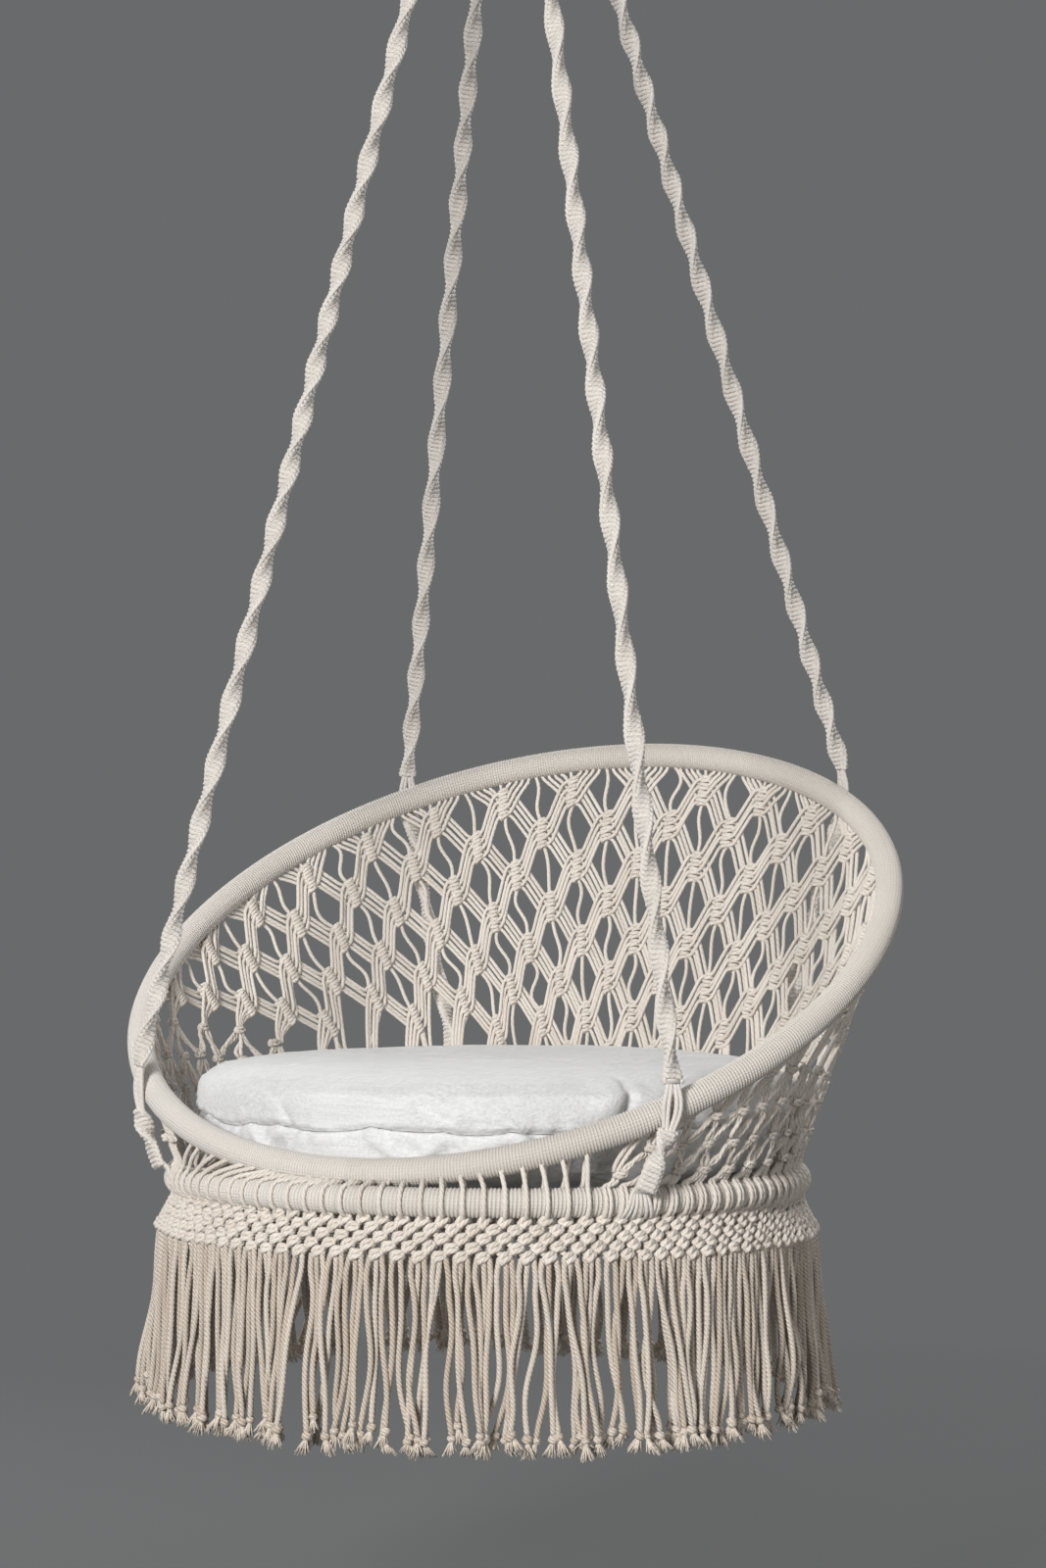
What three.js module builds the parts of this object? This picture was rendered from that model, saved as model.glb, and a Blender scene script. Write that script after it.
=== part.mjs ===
// A hanging hammock chair of knotted cotton cord, in millimetres, +Z up.
// A round seat hoop carries a cushion, a knotted skirt and a fringe. A larger tilted hoop behind
// it stretches the back net. Four flat, spiralling ropes run from the seat hoop over the back
// hoop to a gathering above, and the chair hangs from a steel ring. The sitter faces -Y, and the
// origin is inside the ring, on the facet that a hook bears on.
import * as THREE from 'three';

// Clearances
const fitGap = 0.3;              // between pieces that touch
const slideGap = 0.6;            // between the ring's bar and the collar that slides on it
const turnGap = 0.5;             // between pieces that turn against each other

// Hoops: a bent tube under a close wrap of thin cord
const seatHoopRadius = 285;
const backHoopRadius = 364;
const backHoopTilt = 32.3;       // degrees, its rear edge raised
const hoopTubeRadius = 9.5;
const hoopWrapThickness = 3.2;
const hoopJoint = 1;             // the slit where a wrap's two ends meet, at the rear
const frontGap = 4.3;            // between the two wrapped hoops at the front
const frontLean = 44;            // degrees, how the back hoop sits up and back from the seat hoop
const hoopSegments = 36;
const hoopSides = 8;
const tubeSides = 6;

// Ropes: flat bands of half knots, which spiral
const ropeWidth = 18;
const ropeThickness = 9;
const ropeHalfTurn = 52;         // length in which the band turns over once
const ropeFlat = 24;             // length each side of the hoop where the band lies flat
const ropeBend = 26;             // length each side of the hoop over which the rope bends
const ropeSeatGap = 1.3;
const ropeStepsPerHalfTurn = 3;
const ropeTurns = { front: 45, back: 140 };       // degrees round the back hoop from its front
const ropeFootTurns = { front: 52, back: 150 };   // degrees round the seat hoop
const gatherHeight = 1440;       // the gathering's underside above the seat hoop
const gatherSetback = 20;        // how far it lies behind the seat hoop's centre
const ropeSpread = 16;           // from the gathering's axis to each rope's end

// Foot of each rope, where its cords fan out over the seat hoop
const footThickness = 5;
const footTopWidth = 18;
const footBottomWidth = 34;
const footTop = 20;              // degrees round the hoop's section, up from level
const footBottom = -38;
const footRise = 8.5;            // the rope's end above the middle of its foot

// Net between the hoops
const netStart = 45;             // degrees, where the net begins behind each front rope
const netPitches = 22;           // columns of knots round the sides and the back
const netPanels = 11;
const netThickness = 7;
const netRowPitch = 80;
const firstKnotDrop = 28;        // from the back hoop's edge to the first row of knots
const bundleWidth = 13;
const knotWidth = 20;
const knotHeight = 28;
const hitchDepth = 5;            // the row of hitches along each hoop
const sheetGap = 1.2;            // from the hitches to a hoop's round middle line of facets
const panelGap = 0.3;

// Front cords between the hoops, one above each column of the skirt
const skirtColumns = 104;
const frontPanels = [6, 7, 7, 6];                 // columns in each panel
const frontCordWidth = 5;
const frontThickness = 5;
const shortestSlot = 4;

// Seat net under the cushion
const seatNetThickness = 5;
const seatNetPitch = 82;
const seatNetBundle = 12;
const seatNetRim = 12;

// Cushion
const cushionHeight = 107;
const cushionClearance = 4;      // inside the wrapped seat hoop
const cushionSetback = 10;
const seamDepth = 3.5;

// Knotted skirt and fringe
const skirtTopThickness = 8;
const skirtThickness = 11;
const skirtDepth = 36;
const skirtFlare = 19;
const skirtShoulder = 13;        // depth at which the skirt reaches its full thickness
const fringeThickness = 6;
const fringeDepth = 164;
const fringeFlare = 13;
const fringeBacking = 6;
const fringeGroups = 8;
const strandWidth = 8;
const strandKnotWidth = 12;
const strandKnotDrop = 150;      // from the fringe's top to the end knots
const strandTipWidth = 7;

// Gathering, with its winding of cord
const gatherRadius = 13.5;
const gatherFootRadius = 27;
const gatherFlare = 26;          // height over which the cords draw together
const windingCord = 5;
const windingGap = 0.5;          // between turns
const windingTurns = 10;
const windingSteps = 14;
const windingSides = 6;
const windingTail = 5;           // straight length at each end
const windingLift = 4;           // above the flare

// Ring, collar and head
const ringRadius = 35;           // middle of the bar
const ringBar = 5;               // half the bar's thickness
const ringSegments = 28;
const ringSides = 8;
const collarThickness = 5;
const collarSides = 12;
const collarFacets = 5;          // facets of the ring that the cords cover
const headHeight = 30;
const headRadius = 15;
const headTopRadius = 12;

const degrees = Math.PI / 180;
const tilt = backHoopTilt * degrees;
const wrappedRadius = hoopTubeRadius + fitGap + hoopWrapThickness;
const wrapFlat = wrappedRadius * Math.cos(Math.PI / hoopSides);   // out to its level facets

// The back hoop's place, from where the two hoops come closest at the front
const hoopDistance = 2 * wrappedRadius + frontGap;
const backFrontY = -seatHoopRadius + hoopDistance * Math.cos(frontLean * degrees);
const backFrontZ = hoopDistance * Math.sin(frontLean * degrees);
const backHoopY = backFrontY + backHoopRadius * Math.cos(tilt);
const backHoopZ = backFrontZ + backHoopRadius * Math.sin(tilt);

// Heights of the gathering and the ring above the seat hoop
const windingPitch = windingCord + windingGap;
const windingBottom = gatherFlare + windingLift + windingCord / 2;
const gatherLength = windingBottom + windingTurns * windingPitch + windingCord;
const collarRadius = ringBar + slideGap + collarThickness;
const collarCorner = collarRadius / Math.cos(Math.PI / collarSides);
const ringFacet = Math.PI / ringSegments;
const ringEye = (ringRadius - ringBar) * Math.cos(ringFacet);
const barDrop = ringRadius * Math.cos(ringFacet);
const headBottom = gatherHeight + gatherLength + turnGap;
const headTop = headBottom + headHeight;
const barHeight = headTop + fitGap + collarCorner;        // its corners pass over the head
const ringCentre = barHeight + barDrop;
const hangHeight = ringCentre + ringEye;

const cotton = new THREE.MeshStandardMaterial({ color: 0xe4dacb, roughness: 0.95, metalness: 0 });
const linen = new THREE.MeshStandardMaterial({ color: 0xf0efec, roughness: 0.9, metalness: 0 });
const steel = new THREE.MeshStandardMaterial({ color: 0xb9bcc0, roughness: 0.35, metalness: 0.9 });
const tube = new THREE.MeshStandardMaterial({ color: 0x8d9093, roughness: 0.5, metalness: 0.8 });

const chair = new THREE.Group();
chair.position.set(0, -gatherSetback, -hangHeight);

function add(name, geometry, material, place = chair) {
  const mesh = new THREE.Mesh(geometry, material);
  mesh.name = name;
  place.add(mesh);
  return mesh;
}

// Moves every vertex of a shape that was made flat to its place on a curve or a curved surface
function lay(geometry, place) {
  const position = geometry.attributes.position;
  const point = new THREE.Vector3();
  for (let i = 0; i < position.count; i += 1) {
    point.fromBufferAttribute(position, i);
    const moved = place(point);
    position.setXYZ(i, moved.x, moved.y, moved.z);
  }
  return geometry;
}

function polygon(points) {
  return new THREE.Shape(points.map(([x, y]) => new THREE.Vector2(x, y)));
}

// A regular outline with flats that face along x and y when it has an even count of sides
function ringOutline(radius, sides) {
  const points = [];
  for (let i = 0; i < sides; i += 1) {
    const angle = (2 * i + 1) * Math.PI / sides;
    points.push([radius * Math.cos(angle), radius * Math.sin(angle)]);
  }
  return points;
}

// Points of the hoops' middle lines, where turn is measured round from the front
function seatPoint(turn) {
  return new THREE.Vector3(seatHoopRadius * Math.sin(turn), -seatHoopRadius * Math.cos(turn), 0);
}

function backPoint(turn) {
  const along = -backHoopRadius * Math.cos(turn);
  return new THREE.Vector3(
    backHoopRadius * Math.sin(turn),
    backHoopY + along * Math.cos(tilt),
    backHoopZ + along * Math.sin(tilt),
  );
}

// A pipe bent round +Z, from one turn back to another
function bentPipe(radius, outline, bore, from, to, steps) {
  const shape = polygon(outline);
  shape.holes.push(polygon(bore));
  const pipe = new THREE.ExtrudeGeometry(shape, { depth: 1, steps, bevelEnabled: false });
  return lay(pipe, (point) => {
    const turn = from + point.z * (to - from);
    const reach = radius + point.x;
    return new THREE.Vector3(reach * Math.sin(turn), -reach * Math.cos(turn), point.y);
  });
}

// A closed ring turned about +Z from a closed outline
function turnedRing(points, segments) {
  const profile = [...points, points[0]].map(([x, y]) => new THREE.Vector2(x, y));
  return new THREE.LatheGeometry(profile, segments).rotateX(Math.PI / 2);
}

function addHoop(name, radius, place) {
  const middle = ringOutline(hoopTubeRadius, tubeSides).map(([x, y]) => [radius + x, y]);
  add(name, turnedRing(middle, hoopSegments), tube, place);
  const outer = ringOutline(wrappedRadius, hoopSides);
  const bore = ringOutline(wrappedRadius - hoopWrapThickness, tubeSides);
  const slit = hoopJoint / radius / 2;
  const wrap = bentPipe(radius, outer, bore, Math.PI - slit, slit - Math.PI, hoopSegments);
  add(`${name}_wrap`, wrap, cotton, place);
}

function addHoops() {
  addHoop('seat_hoop', seatHoopRadius, chair);
  const tilted = new THREE.Group();
  tilted.position.set(0, backHoopY, backHoopZ);
  tilted.rotation.x = tilt;
  chair.add(tilted);
  addHoop('back_hoop', backHoopRadius, tilted);
}

// The straight lines from hoop to hoop that the net and the front cords lie on. Height runs up
// from the seat hoop's edge, and out is square to the surface. A line that leaves a hoop at a
// slant starts further along, so that it clears the wrap all the same.
function sheetLine(turn) {
  const low = seatPoint(turn);
  const up = backPoint(turn).sub(low);
  const length = up.length();
  up.normalize();
  const seatAlong = new THREE.Vector3(Math.cos(turn), Math.sin(turn), 0);
  const rise = Math.sin(turn) * Math.sin(tilt);
  const backAlong = new THREE.Vector3(Math.cos(turn), Math.sin(turn) * Math.cos(tilt), rise);
  const [lowEdge, highEdge] = [seatAlong, backAlong].map((along) => (
    (wrappedRadius + sheetGap) / new THREE.Vector3().crossVectors(up, along).length()));
  const outward = new THREE.Vector3(Math.sin(turn), -Math.cos(turn), 0);
  outward.addScaledVector(up, -outward.dot(up)).normalize();
  return { start: low.addScaledVector(up, lowEdge), up, outward, length: length - lowEdge - highEdge };
}

function onSheet(turn, height, out) {
  const line = sheetLine(turn);
  return line.start.clone().addScaledVector(line.up, height).addScaledVector(line.outward, out);
}

// The part of a convex outline on one side of a straight line: the side where the slope rule
// gives more than zero
function clipOutline(points, rule) {
  const kept = [];
  points.forEach((point, i) => {
    const next = points[(i + 1) % points.length];
    const here = rule(point);
    const there = rule(next);
    if (here >= 0) kept.push(point);
    if (here * there < 0) {
      const share = here / (here - there);
      kept.push([point[0] + share * (next[0] - point[0]), point[1] + share * (next[1] - point[1])]);
    }
  });
  return kept;
}

// A sheet from hoop to hoop between two turns, with gaps in it. It is drawn flat: x is the turn
// times a radius, and y runs down from the upper edge. A gap that meets a side edge becomes a
// notch there, and a row of hitches stays whole along both hoops.
function addSheet(name, sides, radius, segments, thickness, gaps) {
  const turnAt = (x) => x / radius;
  const lengthAt = (x) => sheetLine(turnAt(x)).length;
  const [from, to] = sides;
  const windows = gaps.map((gap) => {
    const xs = gap.map((point) => point[0]);
    const left = Math.min(...xs);
    const right = Math.max(...xs);
    const leftFloor = hitchDepth - lengthAt(left);
    const rise = (hitchDepth - lengthAt(right) - leftFloor) / (right - left);
    const low = clipOutline(gap, ([x, y]) => y - leftFloor - rise * (x - left));
    return clipOutline(low, ([, y]) => -hitchDepth - y);
  }).filter((gap) => gap.length > 2 && spanOf(gap) > shortestSlot);
  const notches = (edge, inward) => windows
    .filter((gap) => gap.some(([x]) => (x - edge) * inward < 0)
      && gap.some(([x]) => (x - edge) * inward > 0))
    .map((gap) => clipOutline(gap, ([x]) => (x - edge) * inward).sort((a, b) => b[1] - a[1]))
    .map((gap) => orderNotch(gap, edge))
    .sort((a, b) => b[0][1] - a[0][1])
    .flat();
  const edgePoints = [];
  for (let i = 0; i <= segments; i += 1) edgePoints.push(from + (to - from) * i / segments);
  // Half the sheet's length is added while it is flat, so that neither long edge is straight
  const centred = (points) => polygon(points.map(([x, y]) => [x, y + lengthAt(x) / 2]));
  const shape = centred([
    ...notches(from, 1),
    ...edgePoints.map((x) => [x, -lengthAt(x)]),
    ...notches(to, -1).reverse(),
    ...edgePoints.map((x) => [x, 0]).reverse(),
  ]);
  windows.filter((gap) => gap.every(([x]) => x > from && x < to))
    .forEach((gap) => shape.holes.push(centred(gap)));
  const sheet = new THREE.ExtrudeGeometry(shape, { depth: thickness, bevelEnabled: false });
  lay(sheet, (point) => {
    const height = point.y + lengthAt(point.x) / 2;
    return onSheet(turnAt(point.x), height, point.z - thickness / 2);
  });
  add(name, sheet, cotton);
}

function spanOf(gap) {
  const ys = gap.map((point) => point[1]);
  return Math.max(...ys) - Math.min(...ys);
}

// A notch's points from its top to its bottom: the two on the edge come first and last
function orderNotch(points, edge) {
  const onEdge = points.filter(([x]) => Math.abs(x - edge) < fitGap / 100);
  const inside = points.filter(([x]) => Math.abs(x - edge) >= fitGap / 100);
  return [onEdge[0], ...inside, onEdge[onEdge.length - 1]];
}

// The gap between four knots: its sides follow the bundles of cord, and knots close its ends
function gapOutline(columnPitch) {
  const halfWidth = columnPitch / 2;
  const halfHeight = netRowPitch / 2;
  const share = 1 - (bundleWidth / 2) * Math.hypot(halfWidth, halfHeight) / (halfWidth * halfHeight);
  const tall = halfHeight - knotHeight / 2;
  const wide = Math.min(halfWidth * share, halfWidth - knotWidth / 2);
  const narrow = halfWidth * (share - tall / halfHeight);
  return [[-wide, 0], [-narrow, -tall], [narrow, -tall], [wide, 0], [narrow, tall], [-narrow, tall]];
}

function addNet() {
  const netSweep = (360 - 2 * netStart) * degrees;
  const pitchTurn = netSweep / netPitches;
  const columnPitch = pitchTurn * backHoopRadius;
  const perPanel = netPitches / netPanels;
  const gap = gapOutline(columnPitch);
  for (let panel = 0; panel < netPanels; panel += 1) {
    const from = (netStart * degrees + panel * perPanel * pitchTurn) * backHoopRadius;
    const to = from + perPanel * columnPitch;
    const gaps = [];
    for (let half = 0; half <= 2 * perPanel; half += 1) {
      const middle = from + half * columnPitch / 2;
      const length = sheetLine(middle / backHoopRadius).length;
      const firstDrop = firstKnotDrop + (half % 2 === 0 ? netRowPitch / 2 : 0) - netRowPitch;
      for (let drop = firstDrop; drop < length + netRowPitch / 2; drop += netRowPitch) {
        gaps.push(gap.map(([x, y]) => [middle + x, y - drop]));
      }
    }
    const sides = [from + panelGap / 2, to - panelGap / 2];
    addSheet(`net_panel_${panel + 1}`, sides, backHoopRadius, 2 * perPanel, netThickness, gaps);
  }
}

function addFrontCords() {
  const pitch = 2 * Math.PI / skirtColumns * seatHoopRadius;
  const halfSlot = (pitch - frontCordWidth) / 2;
  let first = -frontPanels.reduce((sum, count) => sum + count, 0) / 2;
  frontPanels.forEach((count, index) => {
    const gaps = [];
    for (let column = first; column <= first + count; column += 1) {
      const middle = column * pitch;
      const drop = sheetLine(middle / seatHoopRadius).length;
      gaps.push([
        [middle - halfSlot, -drop], [middle + halfSlot, -drop],
        [middle + halfSlot, 0], [middle - halfSlot, 0],
      ]);
    }
    const sides = [first * pitch + panelGap / 2, (first + count) * pitch - panelGap / 2];
    addSheet(`front_cords_${index + 1}`, sides, seatHoopRadius, count, frontThickness, gaps);
    first += count;
  });
}

// The way of one rope's middle: from the gathering, over the outside of the back hoop, to the
// outside of the seat hoop
function ropeWay(turn, footTurn) {
  const offset = wrappedRadius + ropeSeatGap + ropeThickness / 2;
  const outward = new THREE.Vector3(Math.sin(turn), -Math.cos(turn), 0);
  const top = new THREE.Vector3(0, gatherSetback, gatherHeight - fitGap)
    .addScaledVector(outward, ropeSpread);
  const hoop = backPoint(turn);
  const along = backPoint(turn + degrees).sub(hoop).normalize();
  const away = new THREE.Vector3().crossVectors(along, new THREE.Vector3().subVectors(top, hoop))
    .normalize();
  if (away.dot(outward) < 0) away.negate();
  const contact = hoop.clone().addScaledVector(away, offset);
  const foot = footFrame(footTurn);
  const end = foot.middle.clone().addScaledVector(foot.outward, offset);
  const rising = new THREE.Vector3().subVectors(contact, end).normalize();
  end.addScaledVector(rising, footRise);
  const upward = new THREE.Vector3().subVectors(top, contact).normalize();
  const downward = rising.clone().negate();
  const corner = contact.clone()
    .addScaledVector(upward, -ropeBend / 4).addScaledVector(downward, -ropeBend / 4);
  const bendTop = corner.clone().addScaledVector(upward, ropeBend);
  const bendEnd = corner.clone().addScaledVector(downward, ropeBend);
  // Its highest corner stays under the gathering
  const slope = Math.hypot(upward.x, upward.y);
  top.addScaledVector(upward, -slope * Math.hypot(ropeWidth, ropeThickness) / 2);
  const path = new THREE.CurvePath();
  path.add(new THREE.LineCurve3(top, bendTop));
  path.add(new THREE.QuadraticBezierCurve3(bendTop, corner, bendEnd));
  path.add(new THREE.LineCurve3(bendEnd, end));
  const lengths = path.getCurveLengths();
  return { path, away, length: path.getLength(), contact: (lengths[0] + lengths[1]) / 2 };
}

// How far the band has turned over at a distance along the rope: it lies flat on the back hoop
// and again at its foot
function ropeTwist(distance, way) {
  const above = way.contact - ropeFlat - distance;
  if (above > 0) return above * Math.PI / ropeHalfTurn;
  const lower = way.length - way.contact - 2 * ropeFlat;
  const below = THREE.MathUtils.clamp(distance - way.contact - ropeFlat, 0, Math.max(lower, 0));
  const turns = Math.max(1, Math.round(lower / ropeHalfTurn));
  return lower > 0 ? below * turns * Math.PI / lower : 0;
}

function addRope(name, turn, footTurn) {
  const way = ropeWay(turn, footTurn);
  const steps = Math.ceil(way.length / ropeHalfTurn * ropeStepsPerHalfTurn);
  const halfThickness = ropeThickness / 2;
  const halfWidth = ropeWidth / 2;
  const section = polygon([
    [-halfThickness, -halfWidth], [halfThickness, -halfWidth],
    [halfThickness, halfWidth], [-halfThickness, halfWidth],
  ]);
  const band = new THREE.ExtrudeGeometry(section, { depth: way.length, steps, bevelEnabled: false });
  lay(band, (point) => {
    const share = THREE.MathUtils.clamp(point.z / way.length, 0, 1);
    const forward = way.path.getTangentAt(share);
    const normal = way.away.clone().addScaledVector(forward, -way.away.dot(forward)).normalize();
    const across = new THREE.Vector3().crossVectors(forward, normal);
    const twist = ropeTwist(point.z, way);
    const thick = point.x * Math.cos(twist) - point.y * Math.sin(twist);
    const wide = point.x * Math.sin(twist) + point.y * Math.cos(twist);
    return way.path.getPointAt(share).addScaledVector(normal, thick).addScaledVector(across, wide);
  });
  add(name, band, cotton);
}

// Where a rope's foot lies on the seat hoop: outward is square to the hoop
function footFrame(turn) {
  const middle = seatPoint(turn);
  return { middle, outward: middle.clone().normalize() };
}

// The cords of a rope's end, fanned out over the outside of the seat hoop
function addFoot(name, turn) {
  const angle = (footTop - footBottom) * degrees;
  const stages = 3;
  const step = angle / stages;
  const inner = (wrappedRadius + fitGap) / Math.cos(step / 2);
  const box = new THREE.BoxGeometry(1, 1, 1, 1, stages, 1);
  lay(box, (point) => {
    const up = point.y + 0.5;
    const around = footBottom * degrees + up * angle;
    const width = footBottomWidth + up * (footTopWidth - footBottomWidth);
    const reach = inner + (point.z + 0.5) * footThickness;
    const foot = footFrame(turn + point.x * width / seatHoopRadius);
    return foot.middle.addScaledVector(foot.outward, reach * Math.cos(around))
      .add(new THREE.Vector3(0, 0, reach * Math.sin(around)));
  });
  add(name, box, cotton);
}

function addRopes() {
  for (const end of ['front', 'back']) {
    for (const [side, sign] of [['left', 1], ['right', -1]]) {
      const turn = sign * ropeTurns[end] * degrees;
      const footTurn = sign * ropeFootTurns[end] * degrees;
      addRope(`rope_${end}_${side}`, turn, footTurn);
      addFoot(`rope_foot_${end}_${side}`, footTurn);
    }
  }
}

// A round, flat net of square gaps inside the seat hoop
function addSeatNet() {
  const facet = Math.PI / hoopSegments;
  const radius = seatHoopRadius - wrapFlat - fitGap;
  const rim = [];
  for (let i = 0; i < hoopSegments; i += 1) {
    const turn = Math.PI + hoopJoint / seatHoopRadius / 2 + 2 * i * facet;
    rim.push([radius * Math.sin(turn), -radius * Math.cos(turn)]);
  }
  const disc = polygon(rim);
  const half = seatNetPitch / 2;
  const gap = half - seatNetBundle / Math.SQRT2;
  const rows = Math.ceil(radius / half);
  for (let row = -rows; row <= rows; row += 1) {
    for (let column = -rows; column <= rows; column += 1) {
      const x = column * half;
      const y = row * half;
      const inside = Math.hypot(x, y) + gap < radius * Math.cos(facet) - seatNetRim;
      if (inside && (row + column) % 2 === 0) {
        disc.holes.push(polygon([[x - gap, y], [x, y + gap], [x + gap, y], [x, y - gap]]));
      }
    }
  }
  const net = new THREE.ExtrudeGeometry(disc, { depth: seatNetThickness, bevelEnabled: false });
  add('seat_net', net.translate(0, 0, -seatNetThickness / 2), cotton);
}

// A round cushion of two covers, full and crowned, drawn in at the seam round its middle
function addCushion() {
  const radius = seatHoopRadius - wrappedRadius - cushionClearance;
  const bottom = seatNetThickness / 2 + fitGap;
  const seam = radius - seamDepth;
  const outlineShares = [
    [0, 0], [0.86, 0], [0.93, 0.07], [0.955, 0.2], [0.98, 0.34], [1, 0.44],
    [seam / radius, 0.5], [1, 0.58], [0.985, 0.74], [0.94, 0.87], [0.8, 0.95], [0.45, 0.985], [0, 1],
  ];
  const profile = outlineShares.map(([out, up]) => new THREE.Vector2(out * radius, up * cushionHeight));
  const cushion = new THREE.LatheGeometry(profile, hoopSegments).rotateX(Math.PI / 2);
  add('cushion', cushion.translate(0, cushionSetback, bottom), linen);
}

const skirtTop = -wrapFlat - fitGap;
const skirtBottomRadius = seatHoopRadius + skirtFlare;

function addSkirt() {
  const shoulder = skirtTop - skirtShoulder;
  const shoulderRadius = seatHoopRadius + skirtFlare * skirtShoulder / skirtDepth;
  const bottom = skirtTop - skirtDepth;
  const outline = [
    [seatHoopRadius - skirtTopThickness / 2, skirtTop],
    [shoulderRadius - skirtThickness / 2, shoulder],
    [skirtBottomRadius - skirtThickness / 2, bottom],
    [skirtBottomRadius + skirtThickness / 2, bottom],
    [shoulderRadius + skirtThickness / 2, shoulder],
    [seatHoopRadius + skirtTopThickness / 2, skirtTop],
  ];
  add('skirt_band', turnedRing(outline, hoopSegments), cotton);
}

// Strands with end knots, joined to a slice of the skirt's lower edge
function addFringe() {
  const perGroup = skirtColumns / fringeGroups;
  const columnTurn = 2 * Math.PI / skirtColumns;
  const pitch = columnTurn * skirtBottomRadius;
  const topHeight = skirtTop - skirtDepth - fitGap;
  const left = -perGroup * pitch / 2 + panelGap / 2;
  const right = perGroup * pitch / 2 - panelGap / 2;
  const outline = [[left, 0], [left, -fringeBacking]];
  for (let strand = 0; strand < perGroup; strand += 1) {
    const middle = (strand + 0.5 - perGroup / 2) * pitch;
    outline.push(
      [middle - strandWidth / 2, -fringeBacking],
      [middle - strandKnotWidth / 2, -strandKnotDrop],
      [middle - strandTipWidth / 2, -fringeDepth],
      [middle + strandTipWidth / 2, -fringeDepth],
      [middle + strandKnotWidth / 2, -strandKnotDrop],
      [middle + strandWidth / 2, -fringeBacking],
    );
  }
  outline.push([right, -fringeBacking], [right, 0]);
  for (let strand = perGroup - 1; strand > 0; strand -= 1) {
    outline.push([(strand - perGroup / 2) * pitch, 0]);
  }
  for (let group = 0; group < fringeGroups; group += 1) {
    const centre = group * perGroup * columnTurn;
    const comb = new THREE.ExtrudeGeometry(polygon(outline), {
      depth: fringeThickness, bevelEnabled: false,
    });
    lay(comb, (point) => {
      const turn = centre + point.x / skirtBottomRadius;
      const out = skirtBottomRadius - fringeFlare * point.y / fringeDepth
        + point.z - fringeThickness / 2;
      return new THREE.Vector3(out * Math.sin(turn), -out * Math.cos(turn), topHeight + point.y);
    });
    add(`fringe_${group + 1}`, comb, cotton);
  }
}

// The cord wound round the gathering: level turns that climb steadily, with straight ends
class WindingLine extends THREE.Curve {
  constructor(radius) {
    super();
    this.radius = radius;
    this.turn = Math.hypot(2 * Math.PI * radius, windingPitch);
    this.total = windingTurns * this.turn + 2 * windingTail;
  }

  getPoint(t, target = new THREE.Vector3()) {
    const distance = t * this.total - windingTail;
    const wound = THREE.MathUtils.clamp(distance, 0, windingTurns * this.turn);
    const spare = (distance - wound) / this.turn;
    const angle = 2 * Math.PI * wound / this.turn;
    const ahead = 2 * Math.PI * this.radius * spare;
    return target.set(
      this.radius * Math.cos(angle) - ahead * Math.sin(angle),
      this.radius * Math.sin(angle) + ahead * Math.cos(angle),
      (wound / this.turn + spare) * windingPitch,
    );
  }
}

// The least distance between the surfaces of turns, measured on points along the winding
function leastGap(line, samplesPerTurn) {
  const count = windingTurns * samplesPerTurn;
  const points = line.getSpacedPoints(count);
  let least = Infinity;
  for (let i = 0; i < count; i += 1) {
    for (let j = i + Math.round(samplesPerTurn / 2); j <= count; j += 1) {
      least = Math.min(least, points[i].distanceTo(points[j]));
    }
  }
  return least - windingCord;
}

function addGathering() {
  const gathering = new THREE.Group();
  gathering.position.set(0, gatherSetback, gatherHeight);
  chair.add(gathering);
  const profile = [
    [0, 0], [gatherFootRadius, 0], [gatherRadius, gatherFlare], [gatherRadius, gatherLength],
    [0, gatherLength],
  ];
  const core = new THREE.LatheGeometry(profile.map(([x, y]) => new THREE.Vector2(x, y)), windingSteps);
  add('gathered_cords', core.rotateX(Math.PI / 2), cotton, gathering);
  const middle = (gatherRadius + fitGap) / Math.cos(Math.PI / windingSteps) + windingCord / 2;
  const line = new WindingLine(middle);
  console.log(`least gap between turns: ${leastGap(line, 4 * windingSteps).toFixed(2)} mm`);
  const cord = polygon(ringOutline(windingCord / 2, windingSides));
  const winding = new THREE.ExtrudeGeometry(cord, {
    steps: windingTurns * windingSteps, bevelEnabled: false, extrudePath: line,
  });
  add('gathering_winding', winding.translate(0, 0, windingBottom), cotton, gathering);
}

// Turns a ring that was made about +Z so that it stands upright, with its axis along Y
function standUp(geometry) {
  return geometry.rotateX(Math.PI / 2);
}

function addRing() {
  const hanger = new THREE.Group();
  hanger.position.set(0, gatherSetback, ringCentre);
  chair.add(hanger);
  const barCorner = ringBar / Math.cos(Math.PI / ringSides);
  const bar = ringOutline(barCorner, ringSides).map(([x, y]) => [ringRadius + x, y]);
  const ring = turnedRing(bar, ringSegments).rotateZ(ringFacet);
  add('hanging_ring', standUp(ring), steel, hanger);
  const flatsToCorners = 1 / Math.cos(Math.PI / ringSides);
  const sleeve = ringOutline(collarCorner, collarSides);
  const bore = ringOutline((ringBar + slideGap) * flatsToCorners, ringSides);
  const half = collarFacets * ringFacet;
  add('ring_collar', standUp(bentPipe(ringRadius, sleeve, bore, half, -half, collarFacets)), cotton, hanger);
  const profile = [
    [0, 0], [gatherRadius, 0], [headRadius, headHeight / 2], [headTopRadius, headHeight], [0, headHeight],
  ];
  const head = new THREE.LatheGeometry(profile.map(([x, y]) => new THREE.Vector2(x, y)), windingSteps);
  head.rotateX(Math.PI / 2).translate(0, gatherSetback, headBottom);
  add('rope_head', head, cotton);
}

addHoops();
addNet();
addFrontCords();
addRopes();
addSeatNet();
addCushion();
addSkirt();
addFringe();
addGathering();
addRing();

const hammockChair = new THREE.Group();
hammockChair.add(chair);
export default hammockChair;
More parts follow.
